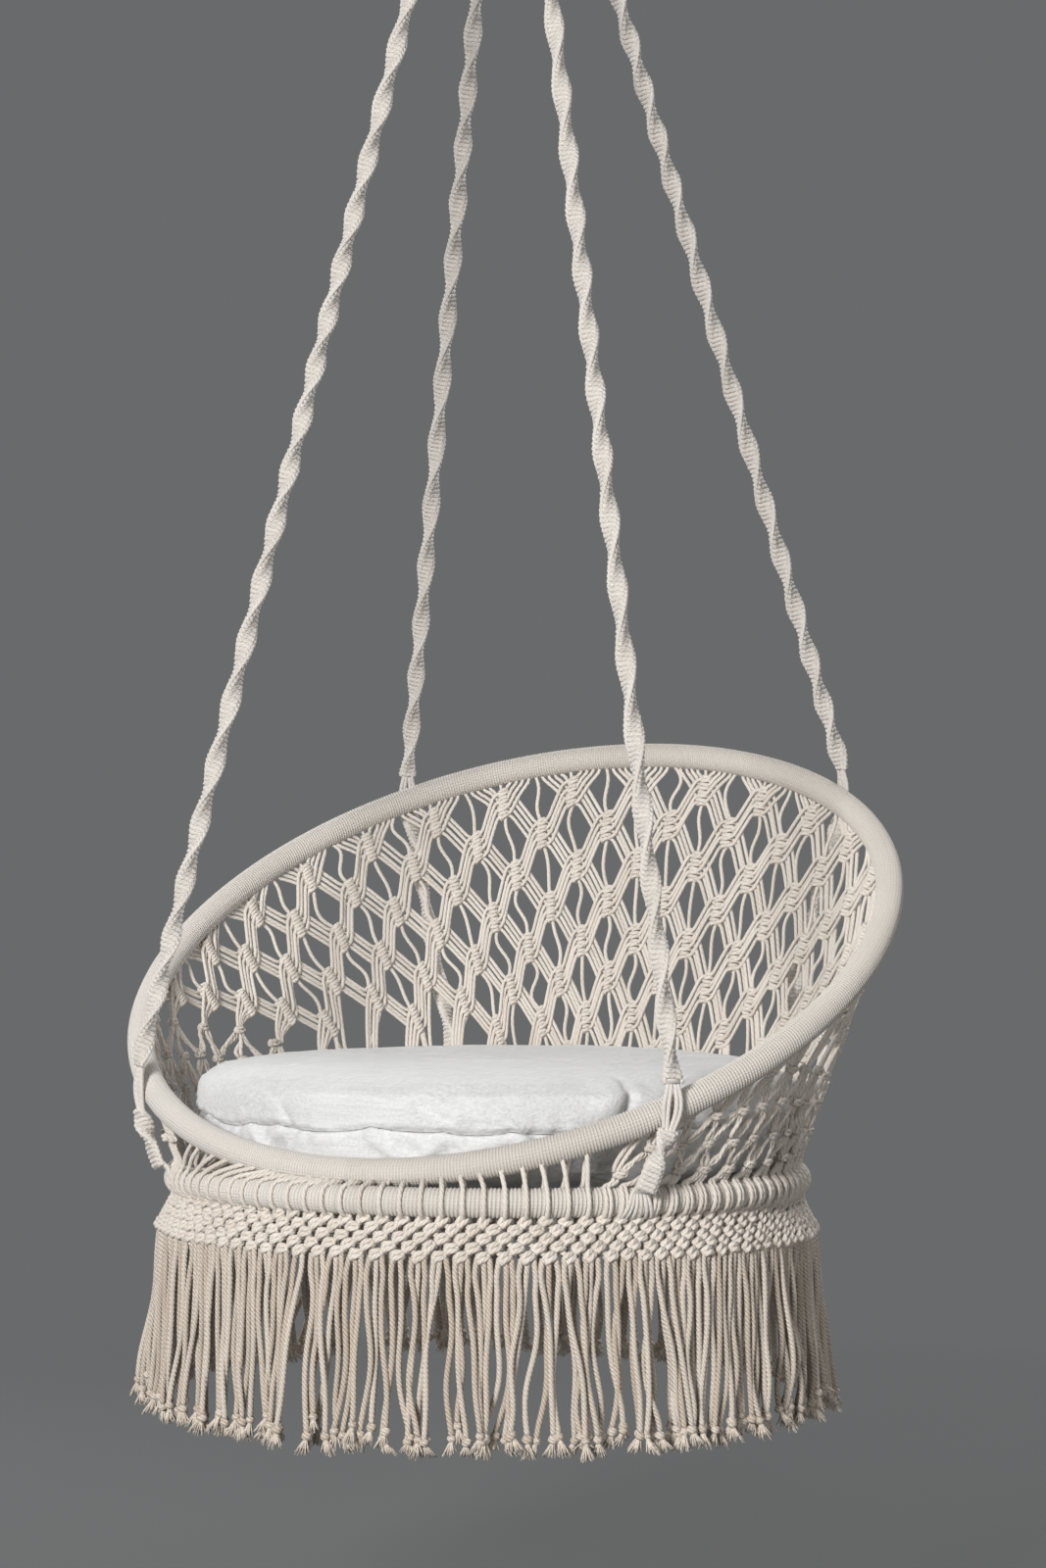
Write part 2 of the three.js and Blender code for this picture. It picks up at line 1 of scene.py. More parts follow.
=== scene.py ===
"""The looks of a hanging hammock chair of knotted cotton cord, over its fixed frame."""
import math

import bpy
import numpy as np
from mathutils import Matrix, Vector


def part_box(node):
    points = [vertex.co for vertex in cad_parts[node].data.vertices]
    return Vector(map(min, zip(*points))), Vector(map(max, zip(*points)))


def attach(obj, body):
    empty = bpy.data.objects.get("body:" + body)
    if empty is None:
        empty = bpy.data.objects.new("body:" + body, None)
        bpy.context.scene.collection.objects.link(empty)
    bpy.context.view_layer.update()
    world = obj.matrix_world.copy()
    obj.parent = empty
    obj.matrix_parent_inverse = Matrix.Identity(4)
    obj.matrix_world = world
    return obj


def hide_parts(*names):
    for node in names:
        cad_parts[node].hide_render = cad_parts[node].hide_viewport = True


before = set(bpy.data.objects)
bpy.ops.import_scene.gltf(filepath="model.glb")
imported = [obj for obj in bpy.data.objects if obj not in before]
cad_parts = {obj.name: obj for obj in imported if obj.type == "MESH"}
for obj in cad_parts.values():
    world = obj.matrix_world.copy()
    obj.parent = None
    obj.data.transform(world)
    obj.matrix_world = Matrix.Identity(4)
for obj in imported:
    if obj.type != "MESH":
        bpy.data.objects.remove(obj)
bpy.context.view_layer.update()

bl_info = {
    "name": "Knotted Hammock Chair",
    "version": (1, 0, 0),
    "blender": (4, 5, 0),
    "location": "View3D > Sidebar > Hammock",
    "description": "Dresses the frame of a hanging chair in knotted cord and cloth",
    "category": "Add Mesh",
}

TURN = 2 * math.pi
DEGREE = math.pi / 180
CHAIR = "chair"


def corners(node):
    """The lowest and highest corners of a node of the frame."""
    return [np.array(corner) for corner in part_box(node)]


# The frame's sizes, in metres. Turns are measured round from the front, towards the sitter's left.
seat_low, seat_high = corners("seat_hoop_wrap")
back_low, back_high = corners("back_hoop_wrap")
skirt_low, skirt_high = corners("skirt_band")
fringe_low = corners("fringe_1")[0]
gather_low, gather_high = corners("gathered_cords")
head_low, head_high = corners("rope_head")
ring_low, ring_high = corners("hanging_ring")
cushion_low, cushion_high = corners("cushion")

SEAT = (seat_low + seat_high) / 2
BACK = (back_low + back_high) / 2
WRAP_FLAT = (seat_high[2] - seat_low[2]) / 2
WRAP = WRAP_FLAT / math.cos(math.pi / 8)
SEAT_RADIUS = (seat_high[0] - seat_low[0]) / 2 - WRAP_FLAT
BACK_RADIUS = (back_high[0] - back_low[0]) / 2 - WRAP_FLAT
BACK_SPAN = back_high - back_low - 2 * WRAP
TILT = math.atan2(BACK_SPAN[2], BACK_SPAN[1])
SKIRT_DEPTH = skirt_high[2] - skirt_low[2]
CUSHION_HEIGHT = cushion_high[2] - cushion_low[2]
CUSHION_RADIUS = (cushion_high[0] - cushion_low[0]) / 2
RING_MIDDLE = (ring_low + ring_high) / 2
RING_BAR = (ring_high[1] - ring_low[1]) / 2
RING_RADIUS = (ring_high[0] - ring_low[0]) / 2 - RING_BAR

# The ropes' places on the hoops, and where the net begins
FRONT_ROPE, BACK_ROPE = 45 * DEGREE, 140 * DEGREE
FRONT_FOOT, BACK_FOOT = 52 * DEGREE, 150 * DEGREE
NET_START = 45 * DEGREE


class ChairSizes(bpy.types.PropertyGroup):
    """Sizes of the cords and knots."""

    cord: bpy.props.FloatProperty(
        name="Net cord", description="Thickness of the net's cords", default=0.0041,
        unit="LENGTH", precision=4)
    fringe_cord: bpy.props.FloatProperty(
        name="Fringe cord", description="Thickness of the fringe's three-ply cords",
        default=0.0051, unit="LENGTH", precision=4)
    ply_lay: bpy.props.FloatProperty(
        name="Ply lay", description="Length in which a fringe cord's plies go round once",
        default=0.0118, unit="LENGTH", precision=4)
    wrap_pitch: bpy.props.FloatProperty(
        name="Back wrap pitch", description="From one turn of the back hoop's wrap to the next",
        default=0.0028, unit="LENGTH", precision=4)
    seat_pitch: bpy.props.FloatProperty(
        name="Seat wrap pitch", description="From one turn of the seat hoop's wrap to the next",
        default=0.0034, unit="LENGTH", precision=4)
    half_knot: bpy.props.FloatProperty(
        name="Half knot", description="Length of one half knot of a suspension rope",
        default=0.0043, unit="LENGTH", precision=4)
    spiral: bpy.props.FloatProperty(
        name="Rope spiral", description="Length in which a rope's band turns over",
        default=0.052, unit="LENGTH", precision=4)
    net_columns: bpy.props.IntProperty(
        name="Net columns", description="Columns of crossings round the back net", default=22)
    row_pitch: bpy.props.FloatProperty(
        name="Row pitch", description="From a crossing to the next one below it",
        default=0.080, unit="LENGTH", precision=3)
    seed: bpy.props.IntProperty(
        name="Seed", description="Seed of the hand-made unevenness", default=11)


class ChairColours(bpy.types.PropertyGroup):
    """Colours of the finishes."""

    cotton: bpy.props.FloatVectorProperty(
        name="Cotton", description="Colour of the knotted cotton cord", subtype="COLOR",
        default=(0.735, 0.682, 0.624))
    wrap: bpy.props.FloatVectorProperty(
        name="Wrap", description="Colour of the smooth cord round the hoops", subtype="COLOR",
        default=(0.685, 0.650, 0.612))
    linen: bpy.props.FloatVectorProperty(
        name="Linen", description="Colour of the cushion's cover", subtype="COLOR",
        default=(0.745, 0.748, 0.75))
    steel: bpy.props.FloatVectorProperty(
        name="Steel", description="Colour of the ring", subtype="COLOR",
        default=(0.62, 0.63, 0.64))
    studio: bpy.props.FloatVectorProperty(
        name="Studio", description="Colour of the floor and the backdrop", subtype="COLOR",
        default=(0.142, 0.144, 0.146))


# Vector sums on arrays of points

def unit(vectors):
    """Each vector at a length of 1."""
    return vectors / np.maximum(np.linalg.norm(vectors, axis=-1, keepdims=True), 1e-12)


def dot(a, b):
    return np.sum(a * b, axis=-1, keepdims=True)


def outward(turn):
    """The level direction out from the chair's middle at a turn."""
    turn = np.asarray(turn, float)
    return np.stack([np.sin(turn), -np.cos(turn), np.zeros_like(turn)], axis=-1)


def forward(turn):
    """The level direction in which the turn grows."""
    turn = np.asarray(turn, float)
    return np.stack([np.cos(turn), np.sin(turn), np.zeros_like(turn)], axis=-1)


def turn_gap(turn, centre):
    """How far a turn is past another one, the short way round."""
    return (turn - centre + math.pi) % TURN - math.pi


def upright(size=1.0):
    return np.array([0, 0, size])


def seat_point(turn):
    """The middle of the seat hoop's bar at a turn."""
    return SEAT + SEAT_RADIUS * outward(turn)


def back_point(turn):
    """The middle of the back hoop's bar at a turn."""
    turn = np.asarray(turn, float)
    return BACK + BACK_RADIUS * np.stack([
        np.sin(turn), -np.cos(turn) * math.cos(TILT), -np.cos(turn) * math.sin(TILT)], axis=-1)


def net_line(turn):
    """The straight line from the seat hoop's middle to the back hoop's, at each turn."""
    low = seat_point(turn)
    run = back_point(turn) - low
    length = np.linalg.norm(run, axis=-1)
    up = run / length[..., None]
    away = outward(turn)
    return low, up, unit(away - dot(away, up) * up), length


def on_net(ways):
    """Places on the net from (turn, height above the seat hoop's middle, distance outward)."""
    low, up, away, _ = net_line(ways[..., 0])
    return low + ways[..., 1:2] * up + ways[..., 2:3] * away


def net_length(turn):
    return net_line(np.asarray(turn, float))[3]


def round_hoop(turn, around, reach):
    """Places round the seat hoop's section: around is 0 at its outside and grows upwards."""
    return (SEAT + (SEAT_RADIUS + reach * np.cos(around))[..., None] * outward(turn)
            + (reach * np.sin(around))[..., None] * upright())


def bent_over(turn, start, end, count, reach):
    """A cord's points over the seat hoop, at a turn for each, between two angles in degrees."""
    return round_hoop(turn, np.linspace(start, end, count) * DEGREE, reach)


def laid(places, wide, high, thick):
    """Points beside each place, which holds its middle and its across, up and out directions."""
    middle, across, up, out = (part[:, None] for part in places)
    return middle + wide[..., None] * across + high[..., None] * up + thick[..., None] * out


def routed(knees, count, soften=0):
    """Ways through the given corners, as evenly spaced points with the corners eased."""
    knees = np.asarray(knees, float)
    steps = np.linalg.norm(np.diff(knees, axis=-2), axis=-1)
    run = np.concatenate([np.zeros(steps.shape[:-1] + (1,)), np.cumsum(steps, axis=-1)], axis=-1)
    flat, runs = knees.reshape(-1, *knees.shape[-2:]), run.reshape(-1, run.shape[-1])
    ways = np.empty((len(flat), count, knees.shape[-1]))
    for way, line, along in zip(ways, flat, runs):
        spots = np.linspace(0, along[-1], count)
        for axis in range(knees.shape[-1]):
            way[:, axis] = np.interp(spots, along, line[:, axis])
    for _ in range(soften):
        ways[:, 1:-1] = (ways[:, :-2] + 2 * ways[:, 1:-1] + ways[:, 2:]) / 4
    return ways.reshape(*knees.shape[:-2], count, knees.shape[-1])


class Cords:
    """Cords swept along their ways and gathered into one mesh, with a map of round and along."""

    def __init__(self, seed=0):
        self.spots, self.quads, self.maps, self.caps, self.tints = [], [], [], [], []
        self.count = 0
        self.random = np.random.default_rng(seed)

    def add(self, ways, facing, radius, sides=6, lobes=0, lay=0.0, depth=0.0, flat=1.0):
        """Sweeps a round, flattened or lobed section along ways of one count of points."""
        ways = np.asarray(ways, float).reshape(-1, *np.shape(ways)[-2:])
        many, long, _ = ways.shape
        heading = unit(np.gradient(ways, axis=1))
        normal = np.broadcast_to(facing, ways.shape)
        normal = unit(normal - dot(normal, heading) * heading)
        across = np.cross(heading, normal)
        steps = np.linalg.norm(np.diff(ways, axis=1), axis=2)
        run = np.concatenate([np.zeros((many, 1)), np.cumsum(steps, axis=1)], axis=1)
        angle = np.arange(sides) * TURN / sides
        turned = angle + (TURN * run / lay)[..., None] if lay else np.broadcast_to(
            angle, (many, long, sides))
        reach = np.broadcast_to(np.asarray(radius, float), (many, long))[..., None]
        reach = reach * (1 + depth * np.cos(lobes * angle)) if lobes else reach
        ring = (ways[:, :, None]
                + (flat * reach * np.cos(turned))[..., None] * normal[:, :, None]
                + (reach * np.sin(turned))[..., None] * across[:, :, None])
        index = self.count + np.arange(many * long * sides).reshape(many, long, sides)
        beside = np.roll(index, -1, axis=2)
        self.quads.append(np.stack(
            [index[:, :-1], beside[:, :-1], beside[:, 1:], index[:, 1:]], axis=-1).reshape(-1, 4))
        near = np.broadcast_to(np.arange(sides) / sides, (many, long, sides))
        far = near + 1 / sides
        along = np.broadcast_to(run[..., None], near.shape)
        self.maps.append(corner_map(
            (near[:, :-1], along[:, :-1]), (far[:, :-1], along[:, :-1]),
            (far[:, 1:], along[:, 1:]), (near[:, 1:], along[:, 1:])))
        self.caps.append(index[:, 0, ::-1].reshape(-1, sides))
        self.caps.append(index[:, -1].reshape(-1, sides))
        self.tints.append(np.repeat(self.random.random(many), long * sides))
        self.spots.append(ring.reshape(-1, 3))
        self.count += many * long * sides

    def piece(self, name, material, body, nodes, slot="cotton"):
        """Makes the gathered cords one piece of the chair, riding on a body."""
        mesh = bpy.data.meshes.new(name)
        quads = np.concatenate(self.quads)
        loops = np.concatenate([quads.ravel(), *[cap.ravel() for cap in self.caps]])
        sizes = np.concatenate([np.full(len(quads), 4),
                                *[np.full(len(cap), cap.shape[1]) for cap in self.caps]])
        maps = np.concatenate(self.maps)
        maps = np.concatenate([maps, np.zeros((len(loops) - len(maps), 2))])
        fill_mesh(mesh, np.concatenate(self.spots), loops, sizes)
        mesh.uv_layers.new(name="cord").data.foreach_set("uv", maps.ravel())
        tints = mesh.attributes.new("tint", "FLOAT", "POINT")
        tints.data.foreach_set("value", np.concatenate(self.tints))
        return finish_piece(name, mesh, material, body, nodes)


def corner_map(*corners):
    """The map of four-sided faces from their corners' places round and along."""
    return np.stack([np.stack(corner, axis=-1) for corner in corners], axis=-2).reshape(-1, 2)


def fill_mesh(mesh, spots, loops, sizes):
    """Gives an empty mesh its points and its faces, by each face's number of corners."""
    mesh.vertices.add(len(spots))
    put_spots(mesh, spots)
    mesh.loops.add(len(loops))
    mesh.loops.foreach_set("vertex_index", loops)
    mesh.polygons.add(len(sizes))
    mesh.polygons.foreach_set("loop_start", np.concatenate([[0], np.cumsum(sizes)[:-1]]))
    mesh.update(calc_edges=True)
    if mesh.validate():
        raise RuntimeError(f"{mesh.name} isn't a sound mesh")


def get_spots(mesh):
    spots = np.empty(len(mesh.vertices) * 3)
    mesh.vertices.foreach_get("co", spots)
    return spots.reshape(-1, 3)


def put_spots(mesh, spots):
    mesh.vertices.foreach_set("co", np.asarray(spots, float).ravel())


def in_scene(name, data):
    """A new object in the scene, made of a mesh, a lamp or a camera."""
    thing = bpy.data.objects.new(name, data)
    bpy.context.scene.collection.objects.link(thing)
    return thing


def finish_piece(name, mesh, material, body, nodes):
    """Makes a mesh a piece that rides on a body and replaces nodes of the frame."""
    mesh.shade_smooth()
    mesh.materials.append(material)
    piece = in_scene(name, mesh)
    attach(piece, body)
    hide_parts(*nodes)
    return piece


# Shader expressions

class Sum:
    """A socket in a sum. Each operator adds a Math node to the socket's tree."""

    def __init__(self, tree, socket):
        self.tree, self.socket = tree, socket

    def math(self, operation, *terms):
        node = self.tree.nodes.new("ShaderNodeMath")
        node.operation = operation
        for socket, term in zip(node.inputs, terms):
            if isinstance(term, Sum):
                self.tree.links.new(term.socket, socket)
            else:
                socket.default_value = term
        return Sum(self.tree, node.outputs[0])

    def __add__(self, other):
        return self.math("ADD", self, other)

    def __radd__(self, other):
        return self.math("ADD", other, self)

    def __sub__(self, other):
        return self.math("SUBTRACT", self, other)

    def __rsub__(self, other):
        return self.math("SUBTRACT", other, self)

    def __mul__(self, other):
        return self.math("MULTIPLY", self, other)

    def __rmul__(self, other):
        return self.math("MULTIPLY", other, self)

    def __truediv__(self, other):
        return self.math("DIVIDE", self, other)

    def __rtruediv__(self, other):
        return self.math("DIVIDE", other, self)

    def wave(self):
        """A smooth wave from 0 to 1 that repeats with every whole number."""
        return 0.5 + 0.5 * self.math("SINE", self * TURN)

    def held(self):
        """Kept between 0 and 1."""
        return self.math("MINIMUM", self.math("MAXIMUM", self, 0.0), 1.0)


class Shading:
    """A tree of shader nodes."""

    def __init__(self, tree):
        self.tree = tree

    def node(self, kind, settings=(), **sockets):
        """Adds a node, sets its settings, and then its sockets by value or by link."""
        node = self.tree.nodes.new(kind)
        for key, value in dict(settings).items():
            setattr(node, key, value)
        for key, value in sockets.items():
            self.put(node.inputs[key.title()], value)
        return node

    def put(self, socket, value):
        if isinstance(value, Sum):
            self.tree.links.new(value.socket, socket)
        elif isinstance(value, bpy.types.NodeSocket):
            self.tree.links.new(value, socket)
        else:
            socket.default_value = value

    def value(self, socket):
        return Sum(self.tree, socket)

    def parts(self, vector):
        split = self.node("ShaderNodeSeparateXYZ", vector=vector)
        return [self.value(socket) for socket in split.outputs]

    def noise(self, scale, detail=2.0, stretch=None):
        place = self.node("ShaderNodeTexCoord").outputs["Object"]
        if stretch:
            place = self.node("ShaderNodeMapping", vector=place, scale=stretch).outputs[0]
        noise = self.node("ShaderNodeTexNoise", vector=place, scale=scale, detail=detail)
        return self.value(noise.outputs[0])

    def blend(self, share, low, high):
        """A colour between two colours."""
        mix = self.node("ShaderNodeMix", {"data_type": "RGBA"})
        self.put(mix.inputs["Factor"], share)
        for socket, colour in ((mix.inputs[6], low), (mix.inputs[7], high)):
            self.put(socket, (*colour, 1.0))
        return mix.outputs[2]

    def mixed(self, share, first, second, output):
        """Sends a shader between two shaders to the tree's output."""
        mix = self.node("ShaderNodeMixShader")
        for socket, value in zip(mix.inputs, (share, first.outputs[0], second.outputs[0])):
            self.put(socket, value)
        self.put(self.tree.nodes[output].inputs["Surface"], mix.outputs[0])


class Finish(Shading):
    """A material whose pattern feeds its colour, its roughness and its bump."""

    def __init__(self, name):
        self.material = bpy.data.materials.new(name)
        self.material.use_nodes = True
        super().__init__(self.material.node_tree)
        self.shader = next(n for n in self.tree.nodes if n.type == "BSDF_PRINCIPLED")

    def place(self):
        return self.parts(self.node("ShaderNodeTexCoord").outputs["Object"])

    def cord_place(self):
        """How far round its cord a place lies, from 0 to 1, and how far along it, in metres."""
        return self.parts(self.node("ShaderNodeUVMap", {"uv_map": "cord"}).outputs[0])[:2]

    def attribute(self, name):
        return self.value(self.node("ShaderNodeAttribute", {"attribute_name": name}).outputs["Fac"])

    def finish(self, colour, roughness, height, depth, sheen=0.0):
        """Joins the pattern to the shader: depth is the bump's height in metres."""
        self.put(self.shader.inputs["Base Color"], colour)
        self.put(self.shader.inputs["Roughness"], roughness)
        bump = self.node("ShaderNodeBump", height=height, distance=depth, strength=1.0)
        self.put(self.shader.inputs["Normal"], bump.outputs[0])
        self.shader.inputs["Sheen Weight"].default_value = sheen
        self.shader.inputs["Sheen Roughness"].default_value = SHEEN_ROUGHNESS
        self.shader.inputs["Specular IOR Level"].default_value = SHINE
        return self.material


def shade(colour, factor):
    """A colour times one factor, or times a factor for each of red, green and blue."""
    factors = factor if isinstance(factor, tuple) else (factor,) * 3
    return tuple(channel * times for channel, times in zip(colour, factors))


# Finishes
SHEEN_ROUGHNESS, SHINE = 0.6, 0.25
COTTON_SHADOW, WRAP_SHADOW = (0.60, 0.52, 0.44), (0.62, 0.56, 0.47)
# Scales of the noise that stands for fluff, finer where greater
CORD_FLUFF, WRAP_FLUFF = 900.0, 800.0
LINEN_THREAD = 0.0012


def cotton_cord(name, colour, plies, lay, depth, groove=0.30, uneven=0.26):
    """Twisted cotton: plies that wind along the cord, fine yarn, uneven colour, and painted shade
    between the plies. A ply goes round in lay times plies, and groove is how dark that painted
    shade is."""
    finish = Finish(name)
    around, along = finish.cord_place()
    ply = (plies * around + along / lay).wave()
    yarn = (3 * plies * around - along / (0.35 * lay)).wave()
    tint = finish.attribute("tint")
    cloud, fluff = finish.noise(28.0), finish.noise(CORD_FLUFF, 3.0)
    # Painted shade: the grooves between the plies are painted darker; tint, cloud and fluff vary the
    # tone at random
    share = ((1 - groove) + groove * ply + uneven * (tint - 0.5) + 0.35 * (cloud - 0.5)
             + 0.35 * (fluff - 0.5)).held()
    paint = finish.blend(share, shade(colour, COTTON_SHADOW), colour)
    height = 0.72 * ply + 0.16 * yarn + 0.30 * fluff
    return finish.finish(paint, 0.80 + 0.15 * fluff, height, depth, sheen=0.25)


def wrap_cord(name, colour, pitch):
    """The smooth cord wound round a hoop: its turns are in the mesh, and its fibres and the painted
    shade in the grooves between its turns and strands are here.
    """
    finish = Finish(name)
    around, along = finish.cord_place()
    turn = (along / pitch - around - 0.25).wave()
    strand = (26 * around + along / pitch).wave()
    cloud, fluff = finish.noise(14.0), finish.noise(WRAP_FLUFF, 3.0)
    # Painted shade: the grooves between the turns, and between the strands of the twist, are painted
    # darker
    share = (0.36 + 0.50 * turn + 0.26 * strand + 0.3 * (cloud - 0.5) + 0.35 * (fluff - 0.5)).held()
    paint = finish.blend(share, shade(colour, WRAP_SHADOW), colour)
    height = 0.7 * turn + 0.6 * strand + 0.4 * fluff
    return finish.finish(paint, 0.78 + 0.15 * fluff, height, 0.00060, sheen=0.25)


def woven(warp, weft):
    """Threads over and under each other, from how many threads across a place lies each way."""
    warp, weft = warp.wave(), weft.wave()
    return warp * weft + (1 - warp) * (1 - weft)


def linen_cloth(name, colour):
    """Plain-woven cloth with slubs: its threads follow the top, and go round the side, with a thin
    line of painted shade along the seam.
    """
    finish = Finish(name)
    x, y, z = finish.place()
    facing = finish.parts(finish.node("ShaderNodeNewGeometry").outputs["Normal"])[2]
    level = ((facing.math("ABSOLUTE", facing) - 0.45) * 5).held()
    round_side = x.math("ARCTAN2", x, y) * float(cushion_high[0])
    top = woven(x / LINEN_THREAD, y / LINEN_THREAD)
    side = woven(round_side / LINEN_THREAD, z / LINEN_THREAD)
    weave = level * top + (1 - level) * side
    slubs = [finish.noise(420.0, 2.0, stretch) for stretch in ((0.05, 1.0, 1.0), (1.0, 0.05, 1.0))]
    cloud = finish.noise(9.0, 3.0)
    beside = finish.attribute("beside_seam")
    # Painted shade: a thin dark line along the seam's groove
    line = (1 - beside.math("ABSOLUTE", beside) / 0.0011).held()
    share = (0.62 + 0.12 * weave + 0.4 * (cloud - 0.5) + 1.1 * (slubs[0] + slubs[1] - 1)
             - 0.9 * line).held()
    paint = finish.blend(share, shade(colour, 0.70), colour)
    height = 0.30 * weave + 1.1 * slubs[0] + 1.1 * slubs[1] - 1.5 * line
    return finish.finish(paint, 0.84 + 0.1 * cloud, height, 0.00060, sheen=0.3)


def brushed_steel(name, colour):
    """Drawn steel with fine upright lines and an uneven shine."""
    finish = Finish(name)
    lines = finish.noise(700.0, 2.0, (1.0, 1.0, 0.2))
    cloud = finish.noise(60.0, 3.0)
    paint = finish.blend(cloud, shade(colour, 0.82), colour)
    finish.shader.inputs["Metallic"].default_value = 1.0
    return finish.finish(paint, 0.24 + 0.22 * cloud + 0.1 * lines, lines, 0.00006)


# The net's shape, in metres. A drop is measured down from the back hoop's wrap.
FIRST_DROP = 0.021
# The least height of a crossing above the tied knots
CROSSING_ABOVE_TIED = 0.025
# The heights of the rows of tied knots, from the top row down, at turns from side to side
TIED_TURNS = np.array([45, 75, 100, 125, 230, 246, 260, 285, 315]) * DEGREE
TIED_ROWS = ((0.120, 0.126, 0.104, 0.068, 0.066, 0.108, 0.134, 0.157, 0.160),
             (0.088, 0.092, 0.078, 0.055, 0.054, 0.083, 0.102, 0.118, 0.120),
             (0.056, 0.058, 0.053, 0.042, 0.042, 0.058, 0.070, 0.082, 0.084),
             (0.030, 0.030, 0.030, 0.029, 0.030, 0.035, 0.040, 0.046, 0.046))
STRANDS = 4
STRAND_PITCH = 0.0080
# How much farther out each next strand turns downwards, by the side that it climbs to
STRANDS_APART = {-1: 0.0002, 1: 0.0017}
HITCHES = 8
HITCH_PITCH = 0.0041
HITCH_HALF_WIDTH = 0.0050
# Half rows that a column can hold, and how near the seat hoop the lowest crossing may come
MOST_ROWS = 14
CROSSING_ABOVE_HOOP = 0.09
# The drop of the cords' ends, which lie inside the back hoop's wrap
IN_THE_HOOP = -0.2 * WRAP
# How far out of the net each strand lies, and how much nearer or farther every other one does
STRAND_OUT, STRAND_WEAVE = 0.0019, 0.0007
# How far beside its crossing a strand stays nearly level, and how far it has climbed there
STRAND_LEVEL, STRAND_RISE = 0.0095, 0.0022
# Where a crossing's strands meet the back hoop: the first one, and each next one
FAN_FIRST, FAN_STEP = 0.011, 0.0070
# How far a hitch stands out from the net's middle, and half its cord's thickness
HITCH_REACH, HITCH_CORD = 0.0042, 0.0021
# How wide the first and last hitches are, for the others, and how much narrower each odd one is
END_HITCH, ODD_HITCH = 0.80, 0.06
# How far a stack of hitches leans, and how far a hitch slants, by whether it is even or odd
STACK_LEAN, HITCH_SLANTS = 0.14, (0.0007, 0.0013)
# Where strands enter a tied knot: the first one's place beside it, each next one's, and how high
ENTRY_FIRST, ENTRY_STEP, ENTRY_HEIGHT = 0.0012, 0.0028, 0.014
KNOT_FIRST, KNOT_STEP, KNOT_HEIGHT = 0.0008, 0.0014, 0.005
# How far strands stray down and out, and how far the middle cords bow and wave sideways
SAG_DOWN, SAG_OUT = 0.0009, 0.0006
MIDDLE_BOW, MIDDLE_WAVE = 0.0032, 0.0030
# How far beside a tied knot its inner cords lie, and how much farther the next ones
TIED_INNER, TIED_NEXT = 0.0014, 0.0030
# How far the tied knots stray from their places
TIED_UNEVEN = 0.0012
NET_PANELS = [f"net_panel_{i}" for i in range(1, 12)]
# The front cords, and where they stand on the seat hoop and hang from the back hoop
FRONT_COLUMNS = 26
FRONT_FEET = np.array([-45, -30, 0, 26, 45]) * DEGREE
FRONT_TOPS = np.array([-32.5, -18.6, 1, 19.4, 36]) * DEGREE


# Ways shared by several pieces

def skew(turn):
    """The share of a net line's direction that runs along the back hoop, 0 where it is square."""
    along = unit(back_point(turn + 0.001) - back_point(turn - 0.001))
    return np.sum(net_line(turn)[1] * along, axis=-1)


def hang_slope(turn):
    """How far a column drifts along the hoop as it goes down. It hangs nearly square to the
    hoop on the sitter's right, and nearer to the net's lines on the left."""
    return (0.52 + 0.23 * np.tanh((turn - math.pi) / 0.5)) * skew(turn) - 0.04


def hang(ways):
    """Turns (turn at the hoop, drop below it, distance out) into places for on_net."""
    turn, drop = ways[..., 0], ways[..., 1]
    reach = BACK_RADIUS - (BACK_RADIUS - SEAT_RADIUS) * drop / net_length(turn)
    at = turn + hang_slope(turn) * drop / reach
    return np.stack([at, net_length(at) - WRAP - drop, ways[..., 2]], axis=-1)


def unhang(turn, height, out=0.0):
    """The hanging place (turn at the hoop, drop, distance out) of a place on the net."""
    drop = float(net_length(turn)) - WRAP - height
    reach = BACK_RADIUS - (BACK_RADIUS - SEAT_RADIUS) * drop / float(net_length(turn))
    start = turn
    for _ in range(6):
        start = turn - float(hang_slope(start)) * drop / reach
    return start, drop, out


def net_knots(sizes):
    """The net's crossings, as a set of (half column, row) pairs, and the half columns' turn."""
    half = (TURN - 2 * NET_START) / sizes.net_columns / 2
    found = {}
    for column in range(2 * sizes.net_columns + 1):
        turn = NET_START + column * half
        for row in range(column % 2, MOST_ROWS, 2):
            drop = FIRST_DROP + row * sizes.row_pitch / 2
            if drop < net_length(turn) - WRAP - CROSSING_ABOVE_HOOP:
                at, height, _ = hang(np.array([turn, drop, 0.0]))
                lowest = tied_height(0, at) + CROSSING_ABOVE_TIED
                if height > lowest and NET_START < at < TURN - NET_START:
                    found[column, row] = (turn, drop)
    return found, half


def tied_height(row, turn):
    return np.interp(turn, TIED_TURNS, TIED_ROWS[row])


def fan(turn, side, index):
    """Where a strand that leaves a crossing upwards meets the back hoop."""
    return turn + side * (FAN_FIRST + FAN_STEP * index) / BACK_RADIUS, IN_THE_HOOP


